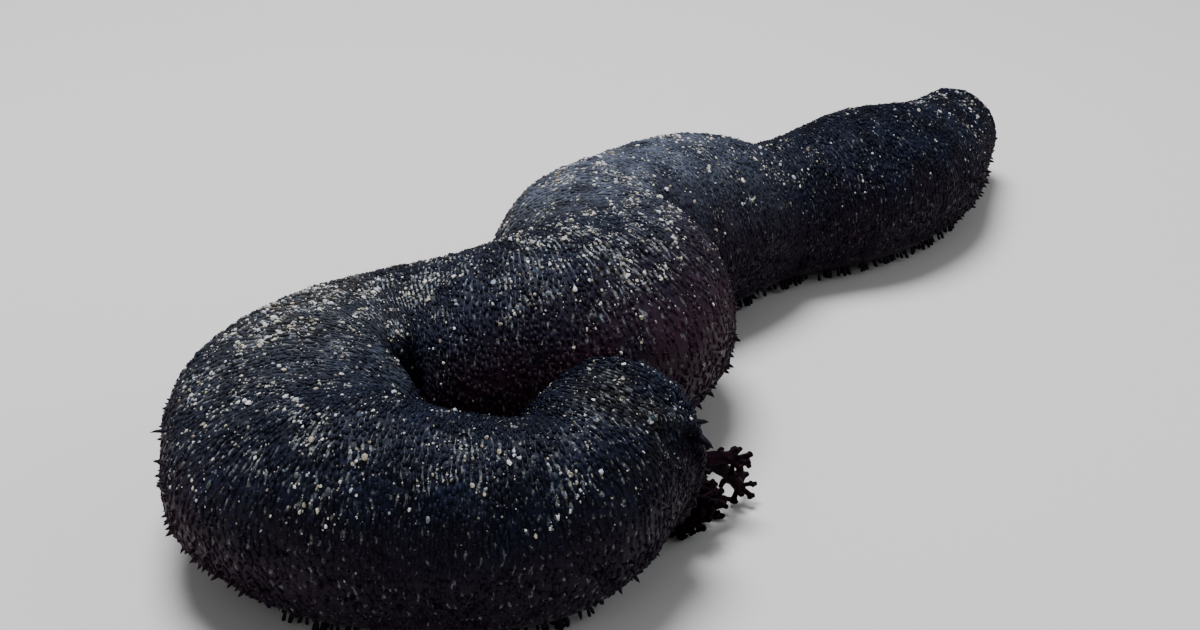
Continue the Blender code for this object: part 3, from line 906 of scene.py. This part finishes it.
def makeFeet():
    s = footSettings
    draw = np.random.default_rng(s["seed"])
    master = footMaster()
    height = skinPoints[..., 2]
    likely = smoothStep(0.4 * mm, 1.2 * mm, height)
    likely *= 1.0 - smoothStep(0.8 * s["highest"], s["highest"], height)
    likely *= skinNormals[..., 2] < -0.2
    likely *= 1.0 - smoothStep(0.4, 0.8, squeezeGrid)
    at = scatter(likely, s["perArea"], draw)
    count = len(at["ring"])
    level = np.array([1.0, 1.0, 0.0])
    out = at["facing"] * level
    out /= np.linalg.norm(out, axis=1, keepdims=True)
    room = np.clip(roomBeside(at["place"], at["station"]) - s["gap"], 0.1 * mm, None)
    reach = np.minimum(s["outwards"] * draw.uniform(*s["reaches"], count), room)
    end = at["place"] + out * reach[:, None] + at["ahead"] * draw.normal(0.0, 0.4, (count, 1)) * mm
    end[:, 2] = s["sole"]
    start = at["place"] + np.array([0.0, 0.0, 0.5]) * mm - out * s["rootDepth"]
    radius = s["radius"] * draw.uniform(*s["radii"], count)

    # Each foot runs from its root to the floor and bulges outwards a little on the way
    points = master[0]
    t = points[None, :, 2:]
    middle = start[:, None] * (1.0 - t) + end[:, None] * t + out[:, None] * (t * (1.0 - t)) * s["bulge"]
    shaped = middle + points * level * radius[:, None, None]
    return makeCoat("tube_feet", master, at, shaped, {"tip": np.tile(points[:, 2], (count, 1))})


feet = makeFeet()


# Sand: pale grains that cling to the back, most of them in the grooves between the rings

sandSettings = {
    "perArea": 7.5 / (mm * mm),  # where the silt is thickest
    "inGrooves": 0.86,
    "dashes": ((2.6 * mm, 2.399), (4.7 * mm, 3.883), (1.7 * mm, 5.113)),  # lengths, and shifts by row
    "smallest": 0.115 * mm,
    "largest": 0.56 * mm,
    "spread": 0.5,  # how much their sizes vary
    "corners": (0.5, 1.3),  # no two are alike: how far their corners lie out,
    "narrowed": (0.7, 1.0),  # and how they are narrowed and flattened
    "flattened": (0.6, 0.95),
    "stretch": 1.25,
    "above": (0.16 * mm, 0.3),  # how high a grain's middle lies, and the share of its size added
    "doubled": (0.045, 0.055),  # how many are twice as large, and how many more on the fresh bands
    "growth": 1.1,
    "finer": (0.28, 305.0 * mm, 317.0 * mm),  # how much finer on the head, and between which places
    "soiled": 0.62,  # how many are dulled by a dark film
    "freshClean": 0.34,  # how many fewer on the fresh bands
    "flankSoiled": 0.42,  # how many more on the flanks
    "flankLoss": 0.3,  # how much finer there
    "flankFrom": (0.05, 0.45),  # how far the skin faces up where the flanks end
    "film": (0.45, 0.9),  # how dark the film is on the dulled grains and on the others
    "thinFilm": (0.0, 0.3),
    "cleanFrom": (0.22 * mm, 0.34 * mm),  # larger grains are clean
    "seed": 14,
}


def grainMaster():
    bpy.ops.mesh.primitive_ico_sphere_add(subdivisions=1, radius=1.0)
    return takeMaster()


# Roots for the grains, most of them moved into the grooves, and how far each lies along the skin
def grainRoots(draw):
    s = sandSettings
    likely = siltAt(skinStation[:, None], angles, skinPoints, skinNormals[..., 2])
    likely *= (skinFar < skinFar[-1] - 14.0 * mm)[:, None] * (skinFar > skinFar[0] + 6.0 * mm)[:, None]
    at = scatter(likely, s["perArea"], draw)
    row = rowAt(at["ring"], at["place"])
    mostly = draw.uniform(size=len(row)) < s["inGrooves"]
    groove = np.floor(row)
    row = np.where(mostly, groove + draw.normal(0.5, 0.11, len(row)), row)
    far = rowSettings["start"] + row * rowSettings["spacing"]

    # Along a groove they lie in dashes: waves that differ from row to row thin them out
    across = at["column"] / columns * skinSettings["girth"]
    waves = 0.0
    for length, shift in s["dashes"]:
        waves = waves + np.sin(allAround * across / length + groove * groove * shift + groove * 1.7)
    kept = ~mostly | (draw.uniform(size=len(far)) < smoothStep(-0.6, 1.4, waves))
    ring = np.interp(far, skinFar, ringNumbers) + rowWaver(at["place"])
    return roots(ring[kept], at["column"][kept]), far[kept]


def makeSand():
    s = sandSettings
    draw = np.random.default_rng(s["seed"])
    master = grainMaster()
    at, far = grainRoots(draw)
    count = len(far)
    fresh = np.clip(bandsAt(siltSettings["fresh"], at["station"], at["angle"]), 0.0, 1.0)
    onFlank = 1.0 - smoothStep(*s["flankFrom"], at["facing"][:, 2])
    loss, finerFrom, finerTo = s["finer"]
    some, more = s["doubled"]
    size = s["smallest"] * np.exp(np.abs(draw.normal(0.0, s["spread"], count)))
    doubled = draw.uniform(size=count) < some + more * fresh
    size *= (1.0 - loss * smoothStep(finerFrom, finerTo, far)) * (1.0 + s["growth"] * doubled)
    size = np.minimum(size * (1.0 - s["flankLoss"] * onFlank), s["largest"])
    share = s["soiled"] - s["freshClean"] * fresh + s["flankSoiled"] * onFlank
    dull = draw.uniform(size=count) < share
    soil = np.where(dull, draw.uniform(*s["film"], count), draw.uniform(*s["thinFilm"], count))
    soil *= 1.0 - 0.95 * smoothStep(*s["cleanFrom"], size) * (1.0 - onFlank)

    points = master[0] * draw.uniform(*s["corners"], (count, len(master[0]), 1))
    turn = draw.uniform(0.0, allAround, count)
    points[..., 1] *= draw.uniform(*s["narrowed"], (count, 1))
    thick = size * draw.uniform(*s["flattened"], count)
    lift = (s["above"][0] + s["above"][1] * size)[:, None]
    shaped = setOut(points, at, size * s["stretch"], size, thick, turn, lift=lift)
    extra = {"tone": draw.uniform(size=count), "soil": soil}
    return makeCoat("sand", master, at, shaped, extra, smooth=False)


sand = makeSand()


# The oral disc: a soft ring-folded disc inside the collar, with the mouth in its middle

discSettings = {
    "radius": 6.3 * mm,
    "thickness": 0.6 * mm,
    "advance": 1.5 * mm,
    "lipHeight": 0.9 * mm,
    "mouthDepth": 2.4 * mm,
    "folds": 20,
    "foldHeight": 0.22 * mm,
    "pleats": 16,  # round the lip
    "pleatHeight": 0.16 * mm,
}


def mouthMatrix(advance):
    turn = Matrix((mouthSide, mouthUp, mouthFacing)).transposed().to_4x4()
    turn.translation = course["mouthPlace"] + mouthFacing * advance
    return turn


def makeDisc():
    s = discSettings
    bpy.ops.mesh.primitive_circle_add(vertices=80, radius=s["radius"], fill_type="NGON")
    disc = bpy.context.object
    disc.name = "oral_disc"
    bpy.ops.object.mode_set(mode="EDIT")
    bpy.ops.mesh.select_all(action="SELECT")
    bpy.ops.mesh.extrude_region_move(TRANSFORM_OT_translate={"value": (0.0, 0.0, -s["thickness"])})
    bpy.ops.object.mode_set(mode="OBJECT")
    # each step lifts or sinks the disc and narrows it to a share of its radius
    steps = ((0.25 * mm, 0.92), (0.1 * mm, 0.80), (-0.15 * mm, 0.64), (0.05 * mm, 0.48),
             (0.55 * s["lipHeight"], 0.38), (0.35 * s["lipHeight"], 0.30), (-0.1 * mm, 0.22),
             (-0.6 * s["mouthDepth"], 0.14), (-0.4 * s["mouthDepth"], 0.06))
    before = [1.0] + [share for _, share in steps]
    drawOut([(lift, share / wider) for (lift, share), wider in zip(steps, before)],
            lambda face: len(face.verts) > 4 and face.calc_center_median().z > -0.5 * s["thickness"])
    for vert in disc.data.vertices:
        across = math.hypot(vert.co.x, vert.co.y)
        around = math.atan2(vert.co.y, vert.co.x)
        if vert.co.z > 0.05 * mm - s["thickness"] and across > 0.1 * mm:
            ripple = math.sin(math.pi * min(across / s["radius"], 1.0))
            vert.co.z += s["foldHeight"] * ripple * math.cos(s["folds"] * around)
            pleat = math.exp(-((across / s["radius"] - 0.3) / 0.12) ** 2)
            vert.co.z += s["pleatHeight"] * pleat * math.cos(s["pleats"] * around)
    applyModifier("SUBSURF", levels=1, render_levels=1)
    disc.data.transform(mouthMatrix(s["advance"]))
    bpy.ops.object.shade_smooth()
    return disc


oralDisc = makeDisc()
print("stage: oral disc made")


# The tentacles: round the mouth, each a stalk with a shield of knobbed branches

tentacleSettings = {
    "count": 20,
    "ring": 5.4 * mm,
    "rootDepth": 1.3 * mm,  # how far before the mouth's plane a root lies
    "rise": 1.6 * mm,  # how far it first runs straight out
    "advance": 2.6 * mm,
    "reach": 15.0 * mm,
    "linePoints": 14,
    # in turn they lean out a lot, a little and between
    "leanOut": (math.radians(66.0), math.radians(26.0), math.radians(46.0)),
    # size on the viewer's side and on the far side, and what the farthest ones lose
    "nearSize": 0.5,
    "farSize": 1.15,
    "outerLoss": 0.5,
    # for each lean: how much shorter above and below, how the tip droops and the stalk arches
    "upperLoss": (0.5, 0.0, 0.0),
    "lowerLoss": (0.3, 0.2, 0.25),
    "droop": (0.2, 0.5, 0.3),
    "arch": (0.2, 0.2, 0.1),
    "clearance": 0.8 * mm,  # between a tip's middle and the floor
    "stalk": (0.72 * mm, 0.80 * mm, 0.72 * mm),  # radius at the root, halfway and at the tip
    "stalkSwell": (0.0, 0.75 * mm, 0.45 * mm),  # added on the longest ones
    "branches": 10,
    "tipBranches": 4,
    "branchTurn": 2.4,  # from one to the next round the stalk
    "branchLength": 2.6 * mm,
    "branchRadius": 0.47 * mm,
    "knobSides": (-1.0, 0.1, 1.0),
    "knobRadius": 0.52 * mm,
    "knobsMissing": 0.12,
    "voxel": 0.17 * mm,
    "seed": 15,
}


# A tentacle's middle line, from its root to the tip, and its size beside the others
def tentacleLine(index):
    s = tentacleSettings
    angle = allAround * (index + 0.5) / s["count"]
    across, upward = math.cos(angle), math.sin(angle)
    spoke = mouthSide * across + mouthUp * upward
    size = s["nearSize"] + (s["farSize"] - s["nearSize"]) * float(smoothStep(-0.9, 0.2, across))
    size -= s["outerLoss"] * float(smoothStep(0.4, 1.0, across))
    tier = (index + index * 2 // s["count"]) % len(s["leanOut"])
    size *= 1.0 - s["upperLoss"][tier] * max(upward, 0.0)
    size *= 1.0 - s["lowerLoss"][tier] * max(-upward, 0.0)
    lean = s["leanOut"][tier]
    middle = course["mouthPlace"]
    root = middle + mouthFacing * s["rootDepth"] + spoke * s["ring"]
    reach = s["reach"] * size
    end = middle + (mouthFacing * math.cos(lean) + spoke * math.sin(lean)) * reach
    end += mouthFacing * s["advance"]
    end.z -= reach * s["droop"][tier] * (1.0 + upward) / 2.0
    end.z = max(end.z, s["clearance"])
    stride = (end - root).length
    first = root + mouthFacing * (s["rise"] + stride * 0.3)
    second = end - (end - root) * 0.3 + Vector((0.0, 0.0, stride * s["arch"][tier]))
    line = []
    for t in np.linspace(0.0, 1.0, s["linePoints"]).tolist():
        u = 1.0 - t
        line.append(root * u ** 3 + first * 3 * u * u * t + second * 3 * u * t * t + end * t ** 3)
    return line, size


def addStrand(curve, points, radii):
    strand = curve.splines.new("POLY")
    strand.points.add(len(points) - 1)
    for point, place, radius in zip(strand.points, points, radii):
        place = place.copy()
        place.z = max(place.z, radius + 0.1 * mm)
        point.co = (*place, 1.0)
        point.radius = radius / mm


# One branch: short and stout, it leaves the stalk, bends to the tip and ends in blunt knobs
def addBranch(curve, root, along, spoke, length, draw):
    s = tentacleSettings
    way = (spoke * 0.9 + along * draw.uniform(0.1, 0.5)).normalized()
    bent = (way + along * draw.uniform(0.1, 0.5)).normalized()
    knee = root + way * length * 0.5
    tip = knee + bent * length * 0.5
    thick = s["branchRadius"] * draw.uniform(0.85, 1.15) * (0.6 + 0.4 * length / s["branchLength"])
    addStrand(curve, [root, root + way * length * 0.25, knee, tip],
              [thick * 1.35, thick * 1.1, thick, thick * 1.05])
    cross = way.cross(along).normalized()
    for side in s["knobSides"]:
        if draw.uniform() < s["knobsMissing"]:
            continue
        start = knee + (tip - knee) * draw.uniform(0.35, 1.0)
        out = (bent + cross * side * 1.1 + spoke * draw.uniform(-0.2, 0.5)).normalized()
        far = length * draw.uniform(0.16, 0.32)
        reached = (0.0, far * 0.6, far, far + 0.2 * mm)
        addStrand(curve, [start + out * distance for distance in reached],
                  [thick * 0.95, thick * 0.9, s["knobRadius"], thick * 0.7])


def makeTentacle(index):
    s = tentacleSettings
    draw = np.random.default_rng(s["seed"] * 100 + index)
    line, size = tentacleLine(index)
    bpy.ops.curve.primitive_bezier_curve_add()
    tentacle = bpy.context.object
    tentacle.name = f"feeding_tentacle_{index + 1:02d}"
    curve = tentacle.data
    curve.splines.clear()
    curve.dimensions = "3D"
    curve.bevel_depth = 1.0 * mm
    curve.bevel_resolution = 3
    curve.use_fill_caps = True
    shares = np.linspace(0.0, 1.0, len(line))
    swell = smoothStep(0.45, 1.15, size)
    stout = [a * (0.8 + 0.2 * size) + b * swell for a, b in zip(s["stalk"], s["stalkSwell"])]
    radii = np.interp(shares, (0.0, 0.5, 1.0), stout) * (1.0 + 0.06 * np.sin(31.0 * shares))
    addStrand(curve, line, radii.tolist())
    along = (line[-1] - line[-2]).normalized()
    side = along.cross(Vector((0.0, 0.0, 1.0))).normalized()
    up = side.cross(along)
    for i in range(s["branches"]):
        turn = i * s["branchTurn"] + draw.uniform(-0.3, 0.3)
        back = 0 if i < s["tipBranches"] else 1 + (i - s["tipBranches"]) // 2
        spoke = side * math.cos(turn) + up * math.sin(turn)
        length = s["branchLength"] * (0.75 + 0.35 * size) * draw.uniform(0.8, 1.15)
        length *= 1.0 - 0.08 * back
        addBranch(curve, line[-1 - back], along, spoke, length, draw)
    bpy.ops.object.convert(target="MESH")
    applyModifier("REMESH", mode="VOXEL", voxel_size=s["voxel"])
    applyModifier("SMOOTH", factor=0.5, iterations=3)
    bpy.ops.object.shade_smooth()
    return tentacle


tentacles = [makeTentacle(i) for i in range(tentacleSettings["count"])]
print("stage: tentacles grown,", sum(len(t.data.polygons) for t in tentacles), "faces")


# Finishes

skinColours = {
    "flank": "#1a101d",
    # on the back the skin's own near-black carries a blue-grey cast of painted sheen from the light above,
    # and the paler back tone after it is painted sheen in clouds
    "back": "#090b16",
    "backSheenPale": "#121728",
    "purple": "#2b1823",
    "olive": "#2b281f",
    "haze": "#575d69",
    "tip": "#170d12",
    "speckWarm": "#a39c84",
    "speckCool": "#6d8093",
}
# the tones of dusted granules and of grains of sand, each with the share where it stands
dustTones = (
    (0.0, "#33434c"), (0.3, "#566470"), (0.5, "#5d675e"), (0.72, "#7d796b"), (0.88, "#9ea3a6"),
    (1.0, "#414c5c"),
)
filmColour = "#232b38"  # on soiled grains
sandTones = (
    (0.0, "#8d8169"), (0.14, "#b3a78c"), (0.32, "#d8d0bb"), (0.62, "#efebe0"), (0.84, "#ccd1d4"),
    (1.0, "#939da4"),
)


def setTones(ramp, tones):
    elements = ramp.color_ramp.elements
    while len(elements) < len(tones):
        elements.new(0.5)
    for element, (place, colour) in zip(elements, tones):
        element.position = place
        element.color = toLinear(colour)


# Moist, leathery skin: near-black, with purple-brown flanks and a blue-grey cast on the back that is painted
# sheen from the light above.
# The eye gets a satin gloss broken up by fine wrinkles, and pinpoints of clinging silt.
def moistSkin():
    material, tree, shader = newMaterial("moist_leathery_skin")
    c = {name: toLinear(value) for name, value in skinColours.items()}
    where = addNode(tree, "TexCoord").outputs["Object"]
    marks = addNode(tree, "SeparateColor", {"Color": addNode(tree, "Attribute", attribute_name="marks")})
    # the first share, that of the back, also lays the painted sheen of the back
    back, olive, purple = (marks.outputs[name] for name in ("Red", "Green", "Blue"))
    lie = addNode(tree, "Attribute", attribute_name="lie").outputs["Vector"]
    tip, haze, dust, tone, silt, row = (
        addNode(tree, "Attribute", attribute_name=name).outputs["Fac"]
        for name in ("tip", "haze", "dust", "tone", "silt", "row"))

    # From the flank's colour to the back's, whose blue-grey cast is painted sheen, with pale clouds of
    # painted sheen on the back, the marks, the tips and the haze
    broad = addNode(tree, "TexNoise", {"Vector": where, "Scale": 1.0 / (9.0 * mm), "Detail": 5.0})
    # the pale clouds are painted sheen, and only the back gets them
    pale = addNode(tree, "MapRange", {"Value": broad, "From Min": 0.42, "From Max": 0.68, "To Max": 0.8})
    sheenCloudsOnBack = addNode(tree, "Math", {0: pale, 1: back}, operation="MULTIPLY")
    colour = c["flank"]
    for share, name in ((back, "back"), (sheenCloudsOnBack, "backSheenPale"), (purple, "purple"), (olive, "olive"),
                        (tip, "tip"), (haze, "haze")):
        colour = addNode(tree, "Mix", {"Factor": share, "A": colour, "B": c[name]}, data_type="RGBA")
    fine = addNode(tree, "TexNoise", {"Vector": where, "Scale": 1.0 / (1.3 * mm), "Detail": 4.0})
    shade = addNode(tree, "MapRange", {"Value": fine, "From Min": 0.3, "From Max": 0.7,
                                       "To Min": 0.6, "To Max": 1.4})
    mottled = addNode(tree, "VectorMath", {0: colour, "Scale": shade}, operation="SCALE")

    # Granules dusted with silt are blue-grey, grey-green or tan
    dustTone = addNode(tree, "ValToRGB", {"Fac": tone})
    setTones(dustTone, dustTones)
    dusty = addNode(tree, "Mix", {"Factor": dust, "A": mottled, "B": dustTone}, data_type="RGBA")

    # Silt lies along the grooves between the rows in dashes a few millimetres long
    inRow = addNode(tree, "Math", {0: row}, operation="FRACT")
    off = addNode(tree, "Math", {0: inRow, 1: 0.5}, operation="SUBTRACT")
    off = addNode(tree, "Math", {0: off}, operation="ABSOLUTE")
    groove = addNode(tree, "MapRange", {"Value": off, "From Min": 0.36, "From Max": 0.16})
    stretched = addNode(tree, "Mapping", {"Vector": lie, "Scale": (1.0 / (0.6 * mm), 1.0 / (1.7 * mm), 1.0)})
    dashes = addNode(tree, "TexNoise", {"Vector": stretched, "Scale": 1.0, "Detail": 2.0})
    filled = addNode(tree, "Math", {0: silt, 1: 0.42, 2: dashes}, operation="MULTIPLY_ADD")
    filled = addNode(tree, "MapRange", {"Value": filled, "From Min": 0.56, "From Max": 0.74})
    silted = addNode(tree, "Math", {0: groove, 1: filled}, operation="MULTIPLY")
    grit = addNode(tree, "TexVoronoi", {"Vector": where, "Scale": 1.0 / (0.3 * mm)})
    grit = addNode(tree, "SeparateColor", {"Color": grit.outputs["Color"]})
    speck = addNode(tree, "Mix", {"Factor": grit.outputs["Green"], "A": c["speckWarm"],
                                  "B": c["speckCool"]}, data_type="RGBA")
    gritty = addNode(tree, "MapRange", {"Value": grit.outputs["Red"], "To Min": 0.15, "To Max": 1.0})
    cover = addNode(tree, "Math", {0: silted, 1: gritty}, operation="MULTIPLY")
    final = addNode(tree, "Mix", {"Factor": cover, "A": dusty, "B": speck}, data_type="RGBA")

    # Fine creases 0.8 mm apart run round the body, with a pebbly grain between them
    creased = addNode(tree, "Mapping", {"Vector": lie, "Scale": (1.0 / (0.8 * mm), 1.0 / (3.2 * mm), 1.0)})
    creases = addNode(tree, "TexNoise", {"Vector": creased, "Scale": 1.0, "Detail": 2.0})
    pebbles = addNode(tree, "TexVoronoi", {"Vector": where, "Scale": 1.0 / (0.42 * mm)})
    bump = addNode(tree, "Bump", {"Height": creases, "Strength": 0.8, "Distance": 0.25 * mm})
    bump = addNode(tree, "Bump", {"Height": pebbles.outputs["Distance"], "Normal": bump, "Strength": 0.5,
                                  "Distance": 0.12 * mm}, invert=True)
    rough = addNode(tree, "MapRange", {"Value": fine, "From Min": 0.3, "From Max": 0.7,
                                       "To Min": 0.34, "To Max": 0.56})
    setInputs(tree, shader, {"Base Color": final, "Roughness": rough, "Normal": bump, "IOR": 1.38,
                             "Specular IOR Level": 0.10})
    return material


# Coral sand: broken shell and coral, matt, cream to white with a few tan and blue-grey grains,
# some of them under a dark film
def coralSand():
    material, tree, shader = newMaterial("coral_sand")
    where = addNode(tree, "TexCoord").outputs["Object"]
    tone, soil = (addNode(tree, "Attribute", attribute_name=name).outputs["Fac"] for name in ("tone", "soil"))
    clean = addNode(tree, "ValToRGB", {"Fac": tone})
    setTones(clean, sandTones)
    stain = addNode(tree, "TexNoise", {"Vector": where, "Scale": 1.0 / (0.5 * mm), "Detail": 3.0})
    shade = addNode(tree, "MapRange", {"Value": stain, "From Min": 0.3, "From Max": 0.7,
                                       "To Min": 0.72, "To Max": 1.08})
    mottled = addNode(tree, "VectorMath", {0: clean, "Scale": shade}, operation="SCALE")
    soiled = addNode(tree, "Mix", {"Factor": soil, "A": mottled, "B": toLinear(filmColour)},
                     data_type="RGBA")
    rough = addNode(tree, "MapRange", {"Value": stain, "To Min": 0.4, "To Max": 0.75})
    bump = addNode(tree, "Bump", {"Height": stain, "Strength": 0.6, "Distance": 0.1 * mm})
    setInputs(tree, shader, {"Base Color": soiled, "Roughness": rough, "Normal": bump})
    return material


# Wet mucous flesh of the tentacles and the oral disc: dark red-brown, a little see-through. Under
# water its film of mucus gives the eye hardly any gloss.
def wetFlesh(name, dark, light, size):
    material, tree, shader = newMaterial(name)
    where = addNode(tree, "TexCoord").outputs["Object"]
    cloud = addNode(tree, "TexNoise", {"Vector": where, "Scale": 1.0 / size, "Detail": 4.0})
    share = addNode(tree, "MapRange", {"Value": cloud, "From Min": 0.35, "From Max": 0.65})
    tone = addNode(tree, "Mix", {"Factor": share, "A": toLinear(dark), "B": toLinear(light)},
                   data_type="RGBA")
    rough = addNode(tree, "MapRange", {"Value": cloud, "To Min": 0.4, "To Max": 0.65})
    grain = addNode(tree, "TexNoise", {"Vector": where, "Scale": 1.0 / (0.35 * mm), "Detail": 2.0})
    bump = addNode(tree, "Bump", {"Height": grain, "Strength": 0.5, "Distance": 0.1 * mm})
    setInputs(tree, shader, {
        "Base Color": tone, "Roughness": rough, "Normal": bump, "IOR": 1.4, "Specular IOR Level": 0.02,
        "Subsurface Weight": 0.15, "Subsurface Radius": (1.0, 0.35, 0.2), "Subsurface Scale": 0.4 * mm,
        "Coat Weight": 0.01, "Coat Roughness": 0.2,
    })
    return material


skinFinish = moistSkin()
sandFinish = coralSand()
tentacleFinish = wetFlesh("wet_tentacle_flesh", "#090509", "#1c0b13", 1.6 * mm)
discFinish = wetFlesh("wet_mouth_flesh", "#1a0c0c", "#4a211b", 1.1 * mm)

bodyNodes = ("anal_end", "hind_trunk", "rear_trunk", "hump", "middle_trunk", "curl_start", "curl_end",
             "front_trunk", "head")
finishPiece(skin, skinFinish)
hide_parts(*bodyNodes)
for piece in granules + papillae + feet:
    finishPiece(piece, skinFinish)
for piece in sand:
    finishPiece(piece, sandFinish)
finishPiece(oralDisc, discFinish)
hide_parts("mouth")
for i, tentacle in enumerate(tentacles):
    node = f"tentacle_{i + 1:02d}"
    finishPiece(tentacle, tentacleFinish)
    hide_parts(node)
print("stage: finishes on")


# Studio: a pale floor, a large soft light above and behind, a weaker one in front

studio = {
    "floorSize": 6.0,
    "floorLevel": -0.15 * mm,
    "floorColours": ("#d9d4ca", "#dedad1"),
    "worldColour": "#e4e8f2",
    "worldStrength": 0.30,
    # name, place, what it points at, size, power and colour
    "lights": (
        ("key", (-0.12, 0.18, 0.85), (-0.01, -0.02, 0.0), 0.45, 13.0, "#f1f3ff"),
        ("side", (0.65, -0.1, 0.45), (0.0, -0.03, 0.02), 0.5, 1.2, "#eaf1ff"),
        ("front", (-0.35, -0.7, 0.5), (-0.02, -0.05, 0.02), 0.5, 0.5, "#f4f7ff"),
    ),
}


def paleFloor():
    bpy.ops.mesh.primitive_plane_add(size=studio["floorSize"], location=(0.0, 0.0, studio["floorLevel"]))
    floor = bpy.context.object
    floor.name = "studio_floor"
    material, tree, shader = newMaterial("matt_floor_paint")
    first, second = (toLinear(colour) for colour in studio["floorColours"])
    where = addNode(tree, "TexCoord").outputs["Object"]
    cloud = addNode(tree, "TexNoise", {"Vector": where, "Scale": 3.0, "Detail": 2.0})
    tone = addNode(tree, "Mix", {"Factor": cloud, "A": first, "B": second}, data_type="RGBA")
    setInputs(tree, shader, {"Base Color": tone, "Roughness": 0.9})
    floor.data.materials.append(material)


def softLight(name, place, aim, size, power, colour):
    bpy.ops.object.light_add(type="AREA", location=place)
    light = bpy.context.object
    light.name = name
    light.rotation_euler = (Vector(aim) - Vector(place)).to_track_quat("-Z", "Y").to_euler()
    light.data.shape = "DISK"
    light.data.size = size
    light.data.energy = power
    light.data.color = toLinear(colour)[:3]


paleFloor()
for light in studio["lights"]:
    softLight(*light)
world = bpy.data.worlds.new("studioWorld")
bpy.context.scene.world = world
world.use_nodes = True
setInputs(world.node_tree, world.node_tree.nodes["Background"], {
    "Color": toLinear(studio["worldColour"]), "Strength": studio["worldStrength"],
})

triangles = 0
for piece in bpy.context.scene.objects:
    if piece.type == "MESH" and not piece.hide_render:
        piece.data.calc_loop_triangles()
        triangles += len(piece.data.loop_triangles)
        print("piece", piece.name, len(piece.data.loop_triangles))
print("stage: lit,", triangles, "triangles in all")

bpy.context.view_layer.update()
